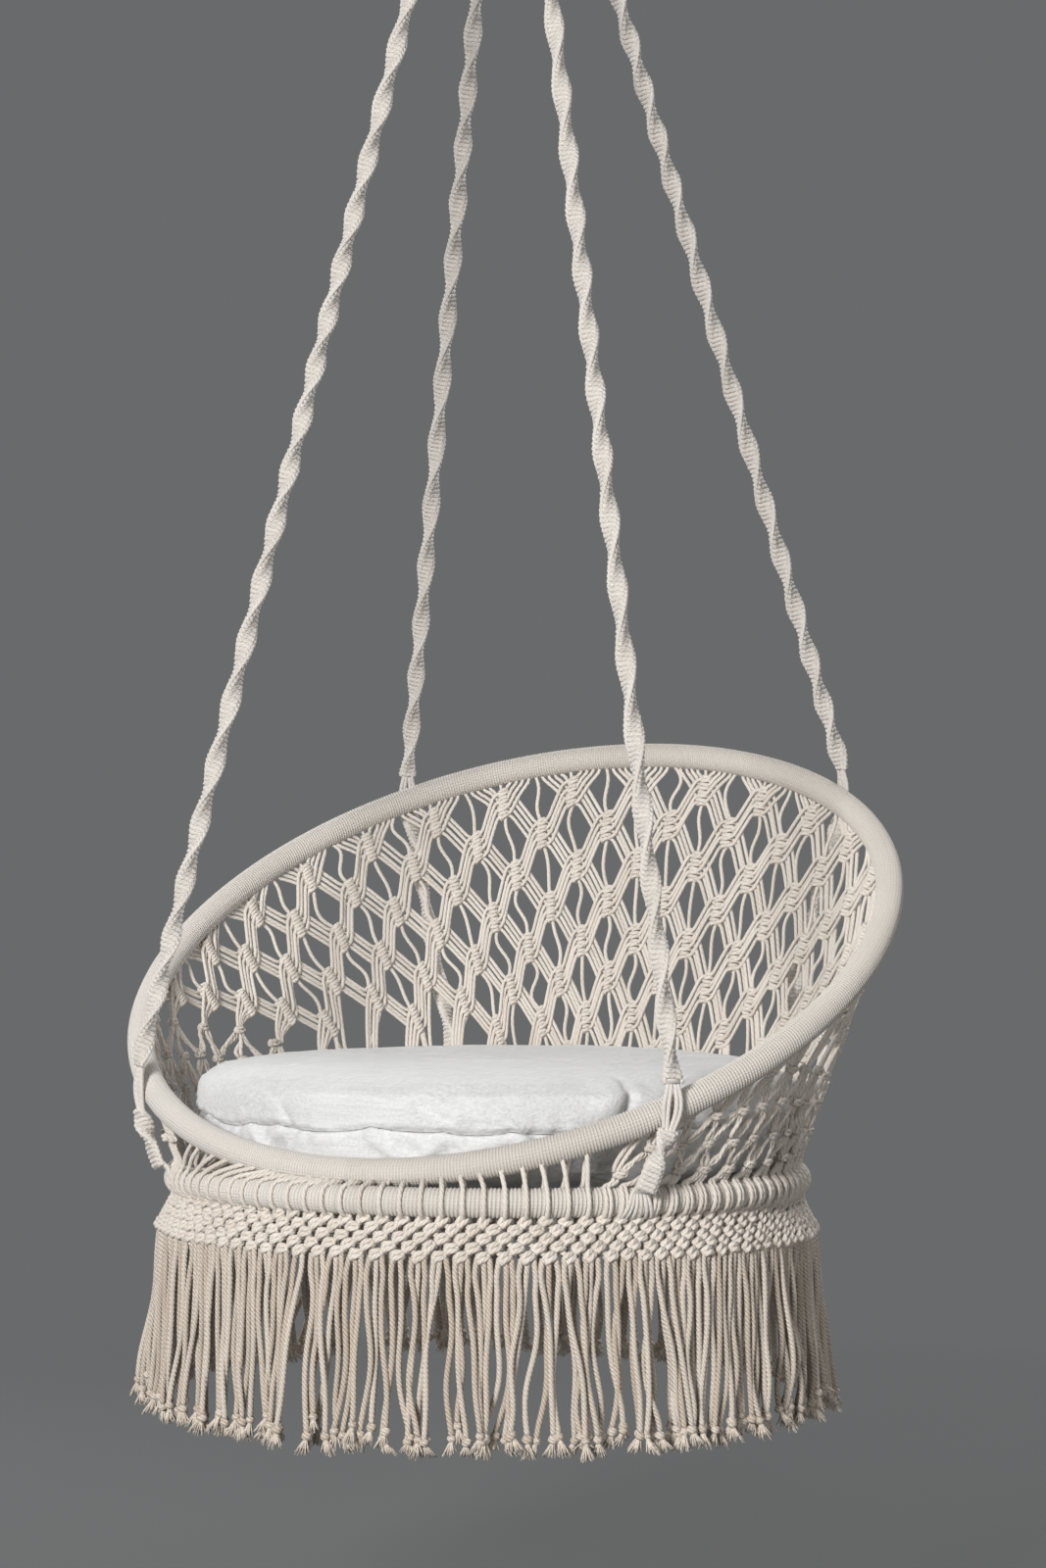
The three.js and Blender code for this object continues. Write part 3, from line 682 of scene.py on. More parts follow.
class SlantedNet:
    """The strands from crossing to crossing: one set climbs each way, one over the other."""

    def __init__(self, sizes):
        self.knots, self.half = net_knots(sizes)
        self.rows = tied_knots(sizes)
        self.random = np.random.default_rng(sizes.seed)
        self.ends = {-1: [], 1: []}
        self.spread = [float(hang(np.array([turn, drop, 0.0]))[0])
                       for turn, drop in self.knots.values()]
        self.held = set()
        for (column, row), (turn, drop) in self.knots.items():
            at = float(hang(np.array([turn, drop, 0.0]))[0])
            for side in (-1, 1):
                if (column - side, row + 1) not in self.knots:
                    aim = at - side * 0.5 * self.half
                    knot = (aim, float(tied_height(0, aim)))
                    self.held.add(knot)
                    self.ends[side].append((turn, drop, knot))
        self.rows[0] = sorted([place for place in self.rows[0] if self.beyond(place[0])]
                              + list(self.held))

    def beyond(self, turn):
        """Whether a turn is past the crossings, near the front, where cords hang from the hoop."""
        return turn < min(self.spread) - self.half or turn > max(self.spread) + self.half

    def strands(self, side):
        """Knees of the strands that climb to one side: -1 climbs with falling turn. Each leaves
        its crossing nearly level, and climbs steeply in between."""
        edge = side * HITCH_HALF_WIDTH / BACK_RADIUS
        offsets = [(i - 1.5) * STRAND_PITCH for i in range(STRANDS)]
        depths = [side * (STRAND_OUT + STRAND_WEAVE * (-1) ** i) for i in range(STRANDS)]
        for (column, row), (turn, drop) in self.knots.items():
            above = self.knots.get((column + side, row - 1))
            for i, (offset, out) in enumerate(zip(offsets, depths)):
                start = [(turn, drop + offset, out), (turn + edge, drop + offset, out)]
                apart = STRANDS_APART[side] * (i - 1.5)
                leave, arrive = (side * (STRAND_LEVEL + way * apart) / BACK_RADIUS
                                 for way in (1, -1))
                if above:
                    yield start + [(turn + leave, drop + offset - STRAND_RISE, out),
                                   (above[0] - arrive, above[1] + offset + STRAND_RISE, out),
                                   (above[0] - edge, above[1] + offset, out),
                                   (above[0], above[1] + offset, out)]
                else:
                    at, top = fan(turn, side, i)
                    middle = (0.5 * (turn + edge + at), 0.5 * (drop + offset + top), 0.8 * out)
                    yield start + [middle, middle, (at, top + 0.004, 0.5 * out),
                                   (at, top, 0.3 * out)]
        for turn, drop, knot in self.ends[side]:
            for i, (offset, out) in enumerate(zip(offsets, depths)):
                wide = side * (ENTRY_FIRST + ENTRY_STEP * i) / SEAT_RADIUS
                tight = side * (KNOT_FIRST + KNOT_STEP * i) / SEAT_RADIUS
                yield [(turn, drop + offset, out), (turn - edge, drop + offset, out),
                       (turn - edge, drop + offset + 0.001, out),
                       unhang(knot[0] + wide, knot[1] + ENTRY_HEIGHT, 0.3 * out),
                       unhang(knot[0] + tight, knot[1] + KNOT_HEIGHT, 0.1 * out),
                       unhang(knot[0] + tight, knot[1] - 0.001, 0.0)]


def tied_knots(sizes):
    """Places (turn, height) of the small tied knots in the net's lower rows, row by row."""
    half = (TURN - 2 * NET_START) / sizes.net_columns / 2
    rows = []
    for index in range(len(TIED_ROWS)):
        shift = 0.5 if index % 2 == 0 else 0.0
        turns = [NET_START + (column + shift) * half for column in range(2 * sizes.net_columns + 1)]
        places = [(turn, float(tied_height(index, turn))) for turn in turns]
        rows.append([(turn, height) for turn, height in places if turn < TURN - NET_START + 0.01
                     and float(net_length(turn)) - WRAP > height + 0.008])
    return rows


def square_knot(cords, places, sizes):
    """Ties a square knot at each place: two bars over the fillers, and a loop at each side."""
    width, thick = 0.0042, 0.5 * sizes.cord
    _, across, up, _ = (part[:, None] for part in places)
    bars = np.linspace(-1, 1, 7)
    for level in (-1, 1):
        ways = laid(places, width * bars, level * thick * (0.95 - 0.25 * bars ** 2),
                    thick * (1.45 - 1.9 * bars ** 4))
        cords.add(ways, up, 0.93 * thick, 5)
    bend = np.linspace(-1, 1, 6)
    for side in (-1, 1):
        ways = laid(places, side * (width + thick * (0.35 - 0.9 * bend ** 2)), thick * 1.55 * bend,
                    thick * (0.9 - 1.1 * bend ** 2))
        cords.add(ways, across, 0.85 * thick, 5)


# The pieces

# How far each turn of a hoop's wrap stands out from the groove beside it, in metres
WRAP_RIDGE = 0.0012


def make_hoop(name, radius, place, tilt, pitch, material, node):
    """A hoop's wrap: a round bar with the ridges of close helical turns."""
    turns = round(TURN * radius / pitch)
    long, sides = 4 * turns, 16
    around = np.arange(sides) * TURN / sides
    turn = np.arange(long) * TURN / long
    ridge = np.abs(np.sin(math.pi * (turn[:, None] * turns / TURN - around / TURN)))
    reach = WRAP - WRAP_RIDGE + WRAP_RIDGE * ridge
    spots = (outward(turn)[:, None] * (radius + reach * np.cos(around))[..., None]
             + (reach * np.sin(around))[..., None] * upright())
    turned = np.array(Matrix.Rotation(tilt, 3, "X"))
    spots = spots.reshape(-1, 3) @ turned.T + place
    index = np.arange(long * sides).reshape(long, sides)
    beside, ahead = np.roll(index, -1, axis=1), np.roll(index, -1, axis=0)
    quads = np.stack([index, ahead, np.roll(ahead, -1, axis=1), beside], axis=-1).reshape(-1, 4)
    u = np.broadcast_to(np.arange(sides) / sides, (long, sides))
    v = np.broadcast_to((turn * radius)[:, None], (long, sides))
    step_u, step_v = 1 / sides, TURN * radius / long
    maps = corner_map((u, v), (u, v + step_v), (u + step_u, v + step_v), (u + step_u, v))
    mesh = bpy.data.meshes.new(name)
    fill_mesh(mesh, spots, quads.ravel(), np.full(len(quads), 4))
    mesh.uv_layers.new(name="cord").data.foreach_set("uv", maps.ravel())
    return finish_piece(name, mesh, material, CHAIR, [node])


def make_hoops(sizes, colours):
    for name, radius, place, tilt, pitch in (
            ("seat", SEAT_RADIUS, SEAT, 0.0, sizes.seat_pitch),
            ("back", BACK_RADIUS, BACK, TILT, sizes.wrap_pitch)):
        material = wrap_cord(f"{name}_wrap_cotton", colours.wrap, pitch)
        make_hoop(f"{name}_hoop_turns", radius, place, tilt, pitch, material, f"{name}_hoop_wrap")
        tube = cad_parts[f"{name}_hoop"]
        tube.data.materials.clear()
        tube.data.materials.append(brushed_steel(f"{name}_tube", shade(colours.steel, 0.6)))


def make_slanted_net(sizes, colours):
    net = SlantedNet(sizes)
    material = cotton_cord("net_cotton", colours.cotton, 2, 0.0062, 0.00032, 0.24)
    for name, side in (("net_over_strands", -1), ("net_under_strands", 1)):
        cords = Cords(sizes.seed + side)
        ways = routed_by(BACK_RADIUS, np.array(list(net.strands(side))), 18, 2)
        share = np.linspace(0, math.pi, ways.shape[1])
        sag = net.random.normal(0, 1, (len(ways), 2, 1)) * np.sin(share)
        ways[..., 1] += SAG_DOWN * sag[:, 0]
        ways[..., 2] += SAG_OUT * sag[:, 1]
        ways = on_net(hang(ways))
        cords.add(ways, net_facing(ways), 0.44 * sizes.cord, 6)
        cords.piece(name, material, CHAIR, NET_PANELS)
    make_hitches(net, sizes, material)
    make_middle_cords(net, sizes, material)


def routed_by(reach, knees, count, soften):
    """Eases ways whose first number is a turn at a reach, and whose others are lengths."""
    return routed(knees * (reach, 1, 1), count, soften) / (reach, 1, 1)


def net_facing(ways):
    """The way out of the net near each point."""
    away = ways - BACK
    away[..., 2] *= 0.2
    return unit(away)


def make_hitches(net, sizes, material):
    """The stack of hitches that holds each crossing: two for each strand, a little aslant."""
    cords = Cords(sizes.seed)
    angle = np.linspace(0, TURN, 11)
    spots = np.array(list(net.knots.values()))
    lean = net.random.normal(0, 0.0005, (len(spots), 1))
    for index in range(HITCHES):
        level = (index - (HITCHES - 1) / 2) * HITCH_PITCH
        narrower = END_HITCH if index in (0, HITCHES - 1) else 1.0 - ODD_HITCH * (index % 2)
        width = HITCH_HALF_WIDTH * narrower
        drift = level * STACK_LEAN + net.random.normal(0, 0.0003, (len(spots), 1))
        knees = np.zeros((len(spots), len(angle), 3))
        knees[..., 0] = spots[:, :1] + (drift + width * np.cos(angle)) / BACK_RADIUS
        slant = HITCH_SLANTS[index % 2] * np.cos(angle)
        knees[..., 1] = spots[:, 1:] + level + slant + lean * np.cos(angle)
        knees[..., 2] = -0.0002 + HITCH_REACH * np.sin(angle)
        cords.add(on_net(hang(knees)), net_line(spots[:, 0])[1][:, None], HITCH_CORD, 5)
    cords.piece("net_hitches", material, CHAIR, NET_PANELS)


def make_middle_cords(net, sizes, material):
    """The loose cord from each crossing to the next one above it."""
    cords = Cords(sizes.seed)
    knees, slacks = [], []
    stack = HITCHES * HITCH_PITCH / 2
    inside = 0.003
    for (column, row), (turn, drop) in net.knots.items():
        above = net.knots.get((column, row - 2))
        top = above[1] + stack - inside if above else IN_THE_HOOP
        knees.append([(turn, drop - stack + inside, 0), (turn, top, 0)])
        slacks.append(drop - stack - top)
        if (column, row + 2) not in net.knots:
            at, height, _ = hang(np.array([turn, drop, 0.0]))
            knot = min(net.rows[0], key=lambda place: abs(place[0] - at))
            knees.append([unhang(knot[0], knot[1], 0.001), (turn, drop + stack - inside, 0)])
            slacks.append(max(height - stack - knot[1], 0))
    ways = routed_by(BACK_RADIUS, np.array(knees), 12, 0)
    share = np.linspace(0, 1, 12)
    sway = net.random.normal(0, 1, (len(knees), 2))
    slack = np.clip(np.array(slacks) / 0.05, 0, 1)[:, None]
    bow = sway[:, :1] * MIDDLE_BOW * np.sin(math.pi * share)
    wave = MIDDLE_WAVE * sway[:, 1:] * np.sin(TURN * share)
    ways[..., 0] += slack * (bow + wave) / BACK_RADIUS
    placed = on_net(hang(ways))
    cords.add(placed, net_facing(placed), 0.45 * sizes.cord, 6)
    cords.piece("net_middle_cords", material, CHAIR, NET_PANELS)


def make_tied_net(sizes, colours):
    """The net's lower rows of tied knots, and the pairs of cords between them."""
    material = cotton_cord("tied_net_cotton", colours.cotton, 3, 0.0055, 0.00060, 0.42)
    cords = Cords(sizes.seed + 5)
    net = SlantedNet(sizes)
    random = np.random.default_rng(sizes.seed + 9)
    knees = []
    for index, row in enumerate(net.rows):
        above = net.rows[index - 1] if index else []
        for turn, height in row:
            for side in (-1, 1):
                over = [place for place in above
                        if 0 < side * (place[0] - turn) < 1.3 * net.half]
                if (turn, height) in net.held or not (over or net.beyond(turn)):
                    continue
                for i in (0, 1):
                    inner = side * (TIED_INNER + TIED_NEXT * i) / SEAT_RADIUS
                    end = [(turn + 1.9 * inner, height + 0.009, 0),
                           (turn + inner, height + 0.003, 0)]
                    if over:
                        source, top = min(over, key=lambda place: abs(place[0] - turn))
                        knees.append([(source - inner, top - 0.004, 0),
                                      (source - 1.9 * inner, top - 0.009, 0)] + end)
                    else:
                        at = turn + side * (0.007 + 0.006 * i) / SEAT_RADIUS
                        top = float(net_length(at)) - 0.8 * WRAP
                        if top > height + 0.012:
                            knees.append([(at, top, 0), (at, top - 0.003, 0)] + end)
        turns, heights = np.array(row).T
        low, up, out, _ = net_line(turns)
        middle = low + heights[:, None] * up + random.normal(0, TIED_UNEVEN, (len(row), 3))
        square_knot(cords, (middle, forward(turns), up, out), sizes)
        square_knot(cords, (middle, -forward(turns), up, -out), sizes)
    ways = on_net(routed_by(SEAT_RADIUS, np.array(knees), 9, 1))
    share = np.linspace(0, math.pi, ways.shape[1])
    slack = random.normal(0, 0.0011, (len(ways), 1, 3)) * np.sin(share)[:, None]
    cords.add(ways + slack, net_facing(ways), 0.5 * sizes.cord, 6)
    cords.piece("tied_net", material, CHAIR, NET_PANELS)


def skirt_turns(sizes):
    """The skirt's columns: close-set at the front, and two for each tied knot of the net."""
    front = np.linspace(-NET_START, NET_START, FRONT_COLUMNS, endpoint=False)
    front = front + NET_START / FRONT_COLUMNS
    rest = 4 * sizes.net_columns
    step = (TURN - 2 * NET_START) / rest
    return front, NET_START + step * (np.arange(rest) + 0.5)


def make_seat_loops(sizes, colours):
    """The net's cords where they pass over the seat hoop, and the front cords."""
    cords = Cords(sizes.seed + 2)
    random = np.random.default_rng(sizes.seed + 3)
    front, rest = skirt_turns(sizes)
    lowest = tied_knots(sizes)[-1]
    reach = WRAP + 0.42 * sizes.cord
    ways = []
    for turn in rest:
        knot, height = min(lowest, key=lambda place: abs(place[0] - turn))
        slant = random.normal(0, 0.004)
        for i in (-0.5, 0.5):
            across = i * 0.95 * sizes.cord / SEAT_RADIUS
            start = on_net(np.array([[knot + 0.35 * (turn - knot) + across, height - 0.004, 0.0],
                                     [knot + 0.7 * (turn - knot) + across, height - 0.010, 0.001]]))
            bent = bent_over(turn + across + slant * np.linspace(0, 1, 9), 72, -95, 9, reach)
            ways.append(np.concatenate([start, bent]))
    ways = routed(np.array(ways), 15, 1)
    cords.add(ways, unit(ways - SEAT), 0.5 * sizes.cord, 6)
    cords.piece("seat_hoop_loops",
                cotton_cord("loop_cotton", colours.cotton, 3, 0.0055, 0.00055, 0.38),
                CHAIR, NET_PANELS)

    front_cords = Cords(sizes.seed + 4)
    outer, inner = [], []
    for turn in front:
        high = float(np.interp(turn, FRONT_FEET, FRONT_TOPS))
        below = unit(seat_point(high) - back_point(high))
        lean = random.normal(0, 0.006)
        top = back_point(high + lean) + 0.8 * WRAP * below + 0.004 * outward(high)
        bent = bent_over(np.full(9, turn), 60, -95, 9, reach)
        mid = 0.45 * top + 0.55 * bent[0] + (0.002 + 0.002 * random.random()) * outward(turn)
        outer.append(np.concatenate([[top], [mid], bent]))
        behind = high + random.normal(0.0, 0.006)
        top = back_point(behind) + 0.6 * WRAP * below - 0.004 * outward(behind)
        bent = bent_over(np.full(5, turn), 100, 165, 5, reach)
        inner.append(np.concatenate([[top, 0.5 * (top + bent[0]) - 0.002 * outward(turn)], bent]))
    for ways in (np.array(outer), np.array(inner)):
        ways = routed(ways, 14, 1)
        front_cords.add(ways, unit(ways - SEAT), 0.54 * sizes.cord, 6)
    front_cords.piece("front_cord_row",
                      cotton_cord("front_cotton", colours.cotton, 3, 0.0055, 0.00055, 0.38),
                      CHAIR, [f"front_cords_{i}" for i in range(1, 5)])


# The skirt, in metres
SKIRT_ROWS = 5
KNOT_FACE = 0.0055
SKIRT_FLARE = skirt_high[0] - KNOT_FACE - SEAT_RADIUS
# The first row's depth, the last row's height above the lower edge, and the two together
FIRST_ROW, LAST_ROW, BOTH_ROWS = 0.0040, 0.0035, 0.0075
KNOT_HALF_WIDTH, CORD_BETWEEN_ROWS = 0.0053, 0.0027
# The knots' slant in degrees, and how much it varies
SKIRT_SLANT, SKIRT_UNEVEN = 26, 9


def skirt_spot(turn, height):
    """A place in the skirt, with its height above the seat hoop's middle."""
    share = (-WRAP_FLAT - height) / SKIRT_DEPTH
    return (SEAT + (SEAT_RADIUS + SKIRT_FLARE * share)[..., None] * outward(turn)
            + height[..., None] * upright())


def skirt_columns(sizes):
    """How many columns the skirt has, and a way to get the turn of any, whole or half."""
    front, rest = skirt_turns(sizes)
    turns = np.concatenate([front, rest])
    count = len(turns)
    ring = np.concatenate([turns[-1:] - TURN, turns, turns[:1] + TURN])
    return count, lambda column: np.interp(
        np.mod(np.asarray(column, float) + 0.5, count) - 0.5, np.arange(-1, count + 1), ring)


def make_skirt(sizes, colours):
    """Rows of plump knots, each between two of the row above, slanted up to the sitter's left."""
    random = np.random.default_rng(sizes.seed + 6)
    count, turn_at = skirt_columns(sizes)
    pitch = (SKIRT_DEPTH - BOTH_ROWS) / (SKIRT_ROWS - 1)
    # Painted light: the skirt's cotton is a little lighter copy of the net's
    material = cotton_cord("skirt_cotton", shade(colours.cotton, 1.02), 3, 0.0050, 0.00060, 0.42)
    fall = math.atan2(SKIRT_FLARE, SKIRT_DEPTH)
    for part, rows in (("upper", (0, 1)), ("lower", (2, 3, 4))):
        cords = Cords(sizes.seed + 7 + rows[0])
        for row in rows:
            columns = np.arange(count) + 0.5 * (row % 2)
            turns = turn_at(columns)
            height = np.full(count, -WRAP_FLAT - FIRST_ROW - row * pitch)
            middle = skirt_spot(turns, height) + random.normal(0, 0.0005, (count, 3))
            out = unit(outward(turns) * math.cos(fall) + upright(math.sin(fall)))
            rise = unit(np.cross(out, forward(turns)))
            rise = np.where(rise[:, 2:] < 0, -rise, rise)
            slant = random.normal(SKIRT_SLANT, SKIRT_UNEVEN, (count, 1)) * DEGREE
            along = forward(turns) * np.cos(slant) + rise * np.sin(slant)
            up = rise * np.cos(slant) - forward(turns) * np.sin(slant)
            plump_knot(cords, (middle, along, up, out), random)
            if row + 1 < SKIRT_ROWS:
                share = np.linspace(0.2, 0.8, 3)
                for side in (-0.5, 0.5):
                    gap = turn_gap(turn_at(columns + side), turns)
                    ways = skirt_spot(turns[:, None] + gap[:, None] * share,
                                      height[:, None] - pitch * share)
                    ways = ways + (0.0008 * side - 0.0004) * outward(turns)[:, None]
                    cords.add(ways, out[:, None], CORD_BETWEEN_ROWS, 5)
        cords.piece(f"skirt_knots_{part}", material, CHAIR, ["skirt_band"])


def plump_knot(cords, places, random):
    """Two full strands side by side over the fillers, with a loop round each end."""
    _, across, up, _ = (part[:, None] for part in places)
    bend = np.linspace(-1, 1, 7)
    tight = random.normal(1, 0.06, (len(places[0]), 1))
    for level in (-1, 1):
        ways = laid(places, tight * KNOT_HALF_WIDTH * bend, level * (0.0025 - 0.0008 * bend ** 2),
                    0.0044 - 0.0044 * bend ** 4 - 0.0014 * bend ** 2)
        cords.add(ways, up, 0.0025, 6)
    bend = np.linspace(-1, 1, 5)
    for side in (-1, 1):
        ways = laid(places, side * (0.0050 - 0.0018 * bend ** 2), 0.0036 * bend,
                    0.0022 - 0.0024 * bend ** 2)
        cords.add(ways, across, 0.0022, 5)


# The fringe, in metres
FRINGE_GROUPS = 8
# How much darker and warmer the fringe's cotton is painted than the rest's: painted shade, for the
# dimmer, warmer light below the skirt
SHADED_WARMER = (0.99, 0.955, 0.915)
# The share of knots that two cords leave and not three
PAIR_SHARE = 0.25
# How far cords stray at their ends: a knot's together, each one sideways, and each one in depth
CLUMP, DRIFT, DEPTH_DRIFT = 0.0045, 0.0058, 0.0042
# What the end knots and frays take up of the fringe's depth
FRAYS_BELOW = 0.0185
WAVES = (0.0024, 0.0018, 0.0011)
SWING_OUT = 0.0072
END_KNOT = 0.0042
FRAY_YARNS, FRAY_SPREAD = 24, 0.0060
FRAY_CORE = np.array([0.0016, 0.0022, 0.0030, 0.0026])


def make_fringe(sizes, colours):
    """Two or three cords from each lower knot of the skirt, knotted and frayed at the end."""
    count, turn_at = skirt_columns(sizes)
    random = np.random.default_rng(sizes.seed + 8)
    # The fringe's cords and frays take a darker, warmer copy of the cotton: painted shade
    shaded_warm = shade(colours.cotton, SHADED_WARMER)
    plies = cotton_cord("fringe_cotton", shaded_warm, 3, sizes.ply_lay / 3, 0.0012, 0.64, 0.60)
    fray_cotton = cotton_cord("fray_cotton", shade(shaded_warm, 0.97), 1, 0.004, 0.0003, 0.3)
    for group in range(FRINGE_GROUPS):
        cords, frays = Cords(sizes.seed + group), Cords(sizes.seed + group)
        ways, ends = [], []
        for column in range(count):
            if column * FRINGE_GROUPS // count != group:
                continue
            clump = random.normal(0, CLUMP)
            for side in (-0.62, 0.62) if random.random() < PAIR_SHARE else (-1, 0, 1):
                way, at = fringe_way(float(turn_at(column)), side, clump, random)
                ways.append(way)
                ends.append((way[-1], at))
        ways = np.array(ways)
        cords.add(ways, unit(ways - SEAT + upright(0.02)), 0.5 * sizes.fringe_cord, 7)
        tie_ends(cords, frays, ends, random, sizes)
        cords.piece(f"fringe_cords_{group + 1}", plies, CHAIR, [f"fringe_{group + 1}"])
        frays.piece(f"fringe_frays_{group + 1}", fray_cotton, CHAIR, [f"fringe_{group + 1}"])


def fringe_way(turn, side, clump, random):
    """A cord of the fringe: out of its knot, and down in lazy waves beside its neighbours."""
    top = -WRAP_FLAT - SKIRT_DEPTH + LAST_ROW
    end = fringe_low[2] - SEAT[2] + FRAYS_BELOW + abs(random.normal(0, 0.006))
    share = np.linspace(0, 1, 40)
    drift = clump + random.normal(0, DRIFT)
    phase = random.random(3) * TURN
    waves = random.normal(0, 1, 3) * WAVES
    beside = 0.0046 + 0.0014 * np.exp(-((share - 0.10) / 0.08) ** 2)
    across = side * beside + drift * share ** 1.2
    behind = 0.0036 if side == 0 else 0.0
    deep = (random.normal(0, DEPTH_DRIFT) * share
            - behind * np.minimum(6 * share, 1) * (1 - 0.6 * share))
    for k, wave in enumerate(waves):
        across = across + wave * np.sin(math.pi * (k + 1.4) * share + phase[k]) * np.sqrt(share)
        deep = deep + 0.9 * wave * np.cos(math.pi * (k + 1.2) * share + phase[k]) * share
    at = turn + across / SEAT_RADIUS
    height = top + (end - top) * share
    reach = skirt_high[0] - 0.0050 + SWING_OUT * share ** 0.8 + deep
    return SEAT + reach[:, None] * outward(at) + height[:, None] * upright(), float(at[-1])


def tie_ends(cords, frays, ends, random, sizes):
    """A tight knot on each cord's end, and the loosened yarn below it."""
    bend = np.linspace(-1, 1, 7)
    angle = np.linspace(-0.2, TURN - 0.3, 12)
    share = np.linspace(0, 1, 4)
    for end, turn in ends:
        size = END_KNOT * random.uniform(0.88, 1.15)
        middle = end - upright(0.6 * size)
        tip = middle + (random.normal(0, 0.0006, 2) @ np.array([forward(turn), outward(turn)]))
        ball = middle + bend[:, None] * (0.92 * size * upright() + 0.3 * (tip - middle))
        cords.add(ball, outward(turn), size * np.sqrt(1.02 - bend ** 2), 8)
        up = unit(upright() + random.normal(0.8, 0.25) * forward(turn))
        way = (middle + 0.50 * size * (np.cos(angle)[:, None] * unit(np.cross(up, outward(turn)))
                                       + np.sin(angle)[:, None] * outward(turn))
               + 0.15 * size * np.linspace(-1, 1, 12)[:, None] * up)
        cords.add(way, up, 0.42 * sizes.fringe_cord, 6)
        swing = random.normal(0, 0.30, 2)
        fall = unit(-upright() + swing[0] * forward(turn) + swing[1] * outward(turn))
        long = random.uniform(0.0125, 0.0160)
        start = middle + 0.6 * size * fall
        core = start + fall * (0.66 * long * share)[:, None]
        frays.add(core, forward(turn), FRAY_CORE, 7)
        spread = random.normal(0, 1, (FRAY_YARNS, 2))
        spread *= FRAY_SPREAD / np.maximum(np.linalg.norm(spread, axis=1, keepdims=True), 1.05)
        sides = spread[:, :1] * forward(turn) + spread[:, 1:] * outward(turn)
        tips = long * random.uniform(0.80, 1.12, FRAY_YARNS)
        curve = (start + fall * ((tips - 0.6 * size)[:, None, None] * share[:, None])
                 + sides[:, None] * (0.15 + 0.85 * share)[:, None])
        frays.add(curve, unit(sides)[:, None] + 0.01, np.linspace(0.0008, 0.0004, 4), 3)


# Ropes

# The band of half knots, in metres, and the bend in its line where it passes the back hoop
BAND_HALF_WIDTH = 0.0072
BAND_HALF_THICKNESS = 0.0037
ROPE_GAP, ROPE_HALF_THICKNESS = 0.0013, 0.0045
ROPE_BEND = 0.026
LINE_STEPS, BEND_STEPS = 300, 24
OVER_HOOP = 0.024
# Where a rope's knots end above and begin below the place where it meets the back hoop, and how
# far its bare cords reach under them
KNOTS_ABOVE, KNOTS_BELOW = 0.021, 0.019
BARE_ABOVE, BARE_BELOW = 0.028, 0.026
# How far above the hoop the bare cords stand widest, and how far from there they are closed
OPEN_ABOVE, OPEN_REACH = 0.001, 0.027
# How far apart the pairs lie, and the cords in a pair: closed, and how much more when open
PAIRS_APART, PAIRS_OPEN = 0.0024, 0.0030
CORDS_APART, CORDS_OPEN = 0.0024, 0.0014
BARE_DEPTH = -0.0015
# A foot: its cords, how far up the rope they begin, and half their width there
FOOT_CORDS, FOOT_ABOVE, FOOT_NARROW = 6, 0.006, 0.0062
# Half a foot's width where it meets the seat hoop, and how much wider its ends are
FOOT_WIDE, FOOT_FAN = 0.0060, 0.0110
STEPS_PER_KNOT = 8
KNOTTING_CORD = 0.0021
# How much longer each rope's spiral is than the tightest one's
ROPE_SPIRALS = {("front", "left"): 1.20, ("front", "right"): 1.04,
                ("back", "left"): 1.0, ("back", "right"): 1.15}


def rope_line(turn, foot_turn):
    """The rope's middle line as in the frame: gathering, outside of the back hoop, foot."""
    offset = WRAP + ROPE_GAP + ROPE_HALF_THICKNESS
    top = np.array([0, 0, gather_low[2] - 0.0003]) + 0.016 * outward(turn)
    hoop = back_point(turn)
    along = unit(back_point(turn + DEGREE) - hoop)
    away = unit(np.cross(along, top - hoop))
    away = away if away @ outward(turn) > 0 else -away
    contact = hoop + offset * away
    end = seat_point(foot_turn) + offset * outward(foot_turn)
    rising = unit(contact - end)
    end = end + 0.0085 * rising
    return top, contact, end, away


def rope_spots(turn, foot_turn):
    """Closely spaced points of a rope, how far along each lies, where it meets the back hoop,
    and the way out from the hoop there."""
    top, contact, end, away = rope_line(turn, foot_turn)
    upward, downward = unit(top - contact), unit(end - contact)
    corner = contact - ROPE_BEND / 4 * upward - ROPE_BEND / 4 * downward
    high, low = corner + ROPE_BEND * upward, corner + ROPE_BEND * downward
    share = np.linspace(0, 1, BEND_STEPS)[:, None]
    curve = (1 - share) ** 2 * high + 2 * share * (1 - share) * corner + share ** 2 * low
    line = np.concatenate([top + (high - top) * np.linspace(0, 1, LINE_STEPS)[:-1, None], curve,
                           low + (end - low) * np.linspace(0, 1, 90)[1:, None]])
    steps = np.linalg.norm(np.diff(line, axis=0), axis=1)
    run = np.concatenate([[0], np.cumsum(steps)])
    return line, run, run[LINE_STEPS - 1 + BEND_STEPS // 2], away


class RopeFrame:
    """Gives places on a rope's spiralling band from distance along, width and thickness."""

    def __init__(self, turn, foot_turn, spiral):
        self.line, self.run, self.meets, self.away = rope_spots(turn, foot_turn)
        self.length = self.run[-1]
        self.spiral = spiral
        heading = unit(np.gradient(self.line, axis=0))
        self.normal = unit(self.away - dot(self.away, heading) * heading)
        self.across = np.cross(heading, self.normal)

    def twist(self, distance):
        above = np.maximum(self.meets - OVER_HOOP - distance, 0)
        above = -(above + 0.010 * np.sin(above / 0.11)) * math.pi / self.spiral
        lower = self.length - self.meets - 2 * OVER_HOOP
        below = np.clip(distance - self.meets - OVER_HOOP, 0, max(lower, 0))
        turns = max(1, round(lower / self.spiral))
        return above + (below * turns * -math.pi / lower if lower > 0 else 0)

    def at(self, distance, wide, thick):
        pick = [np.interp(distance, self.run, table[:, axis]) for table in
                (self.line, self.normal, self.across) for axis in range(3)]
        line, normal, across = (np.stack(pick[i:i + 3], axis=-1) for i in (0, 3, 6))
        twist = self.twist(distance)
        t = thick * np.cos(twist) - wide * np.sin(twist)
        w = thick * np.sin(twist) + wide * np.cos(twist)
        return line + t[..., None] * normal + w[..., None] * across, line


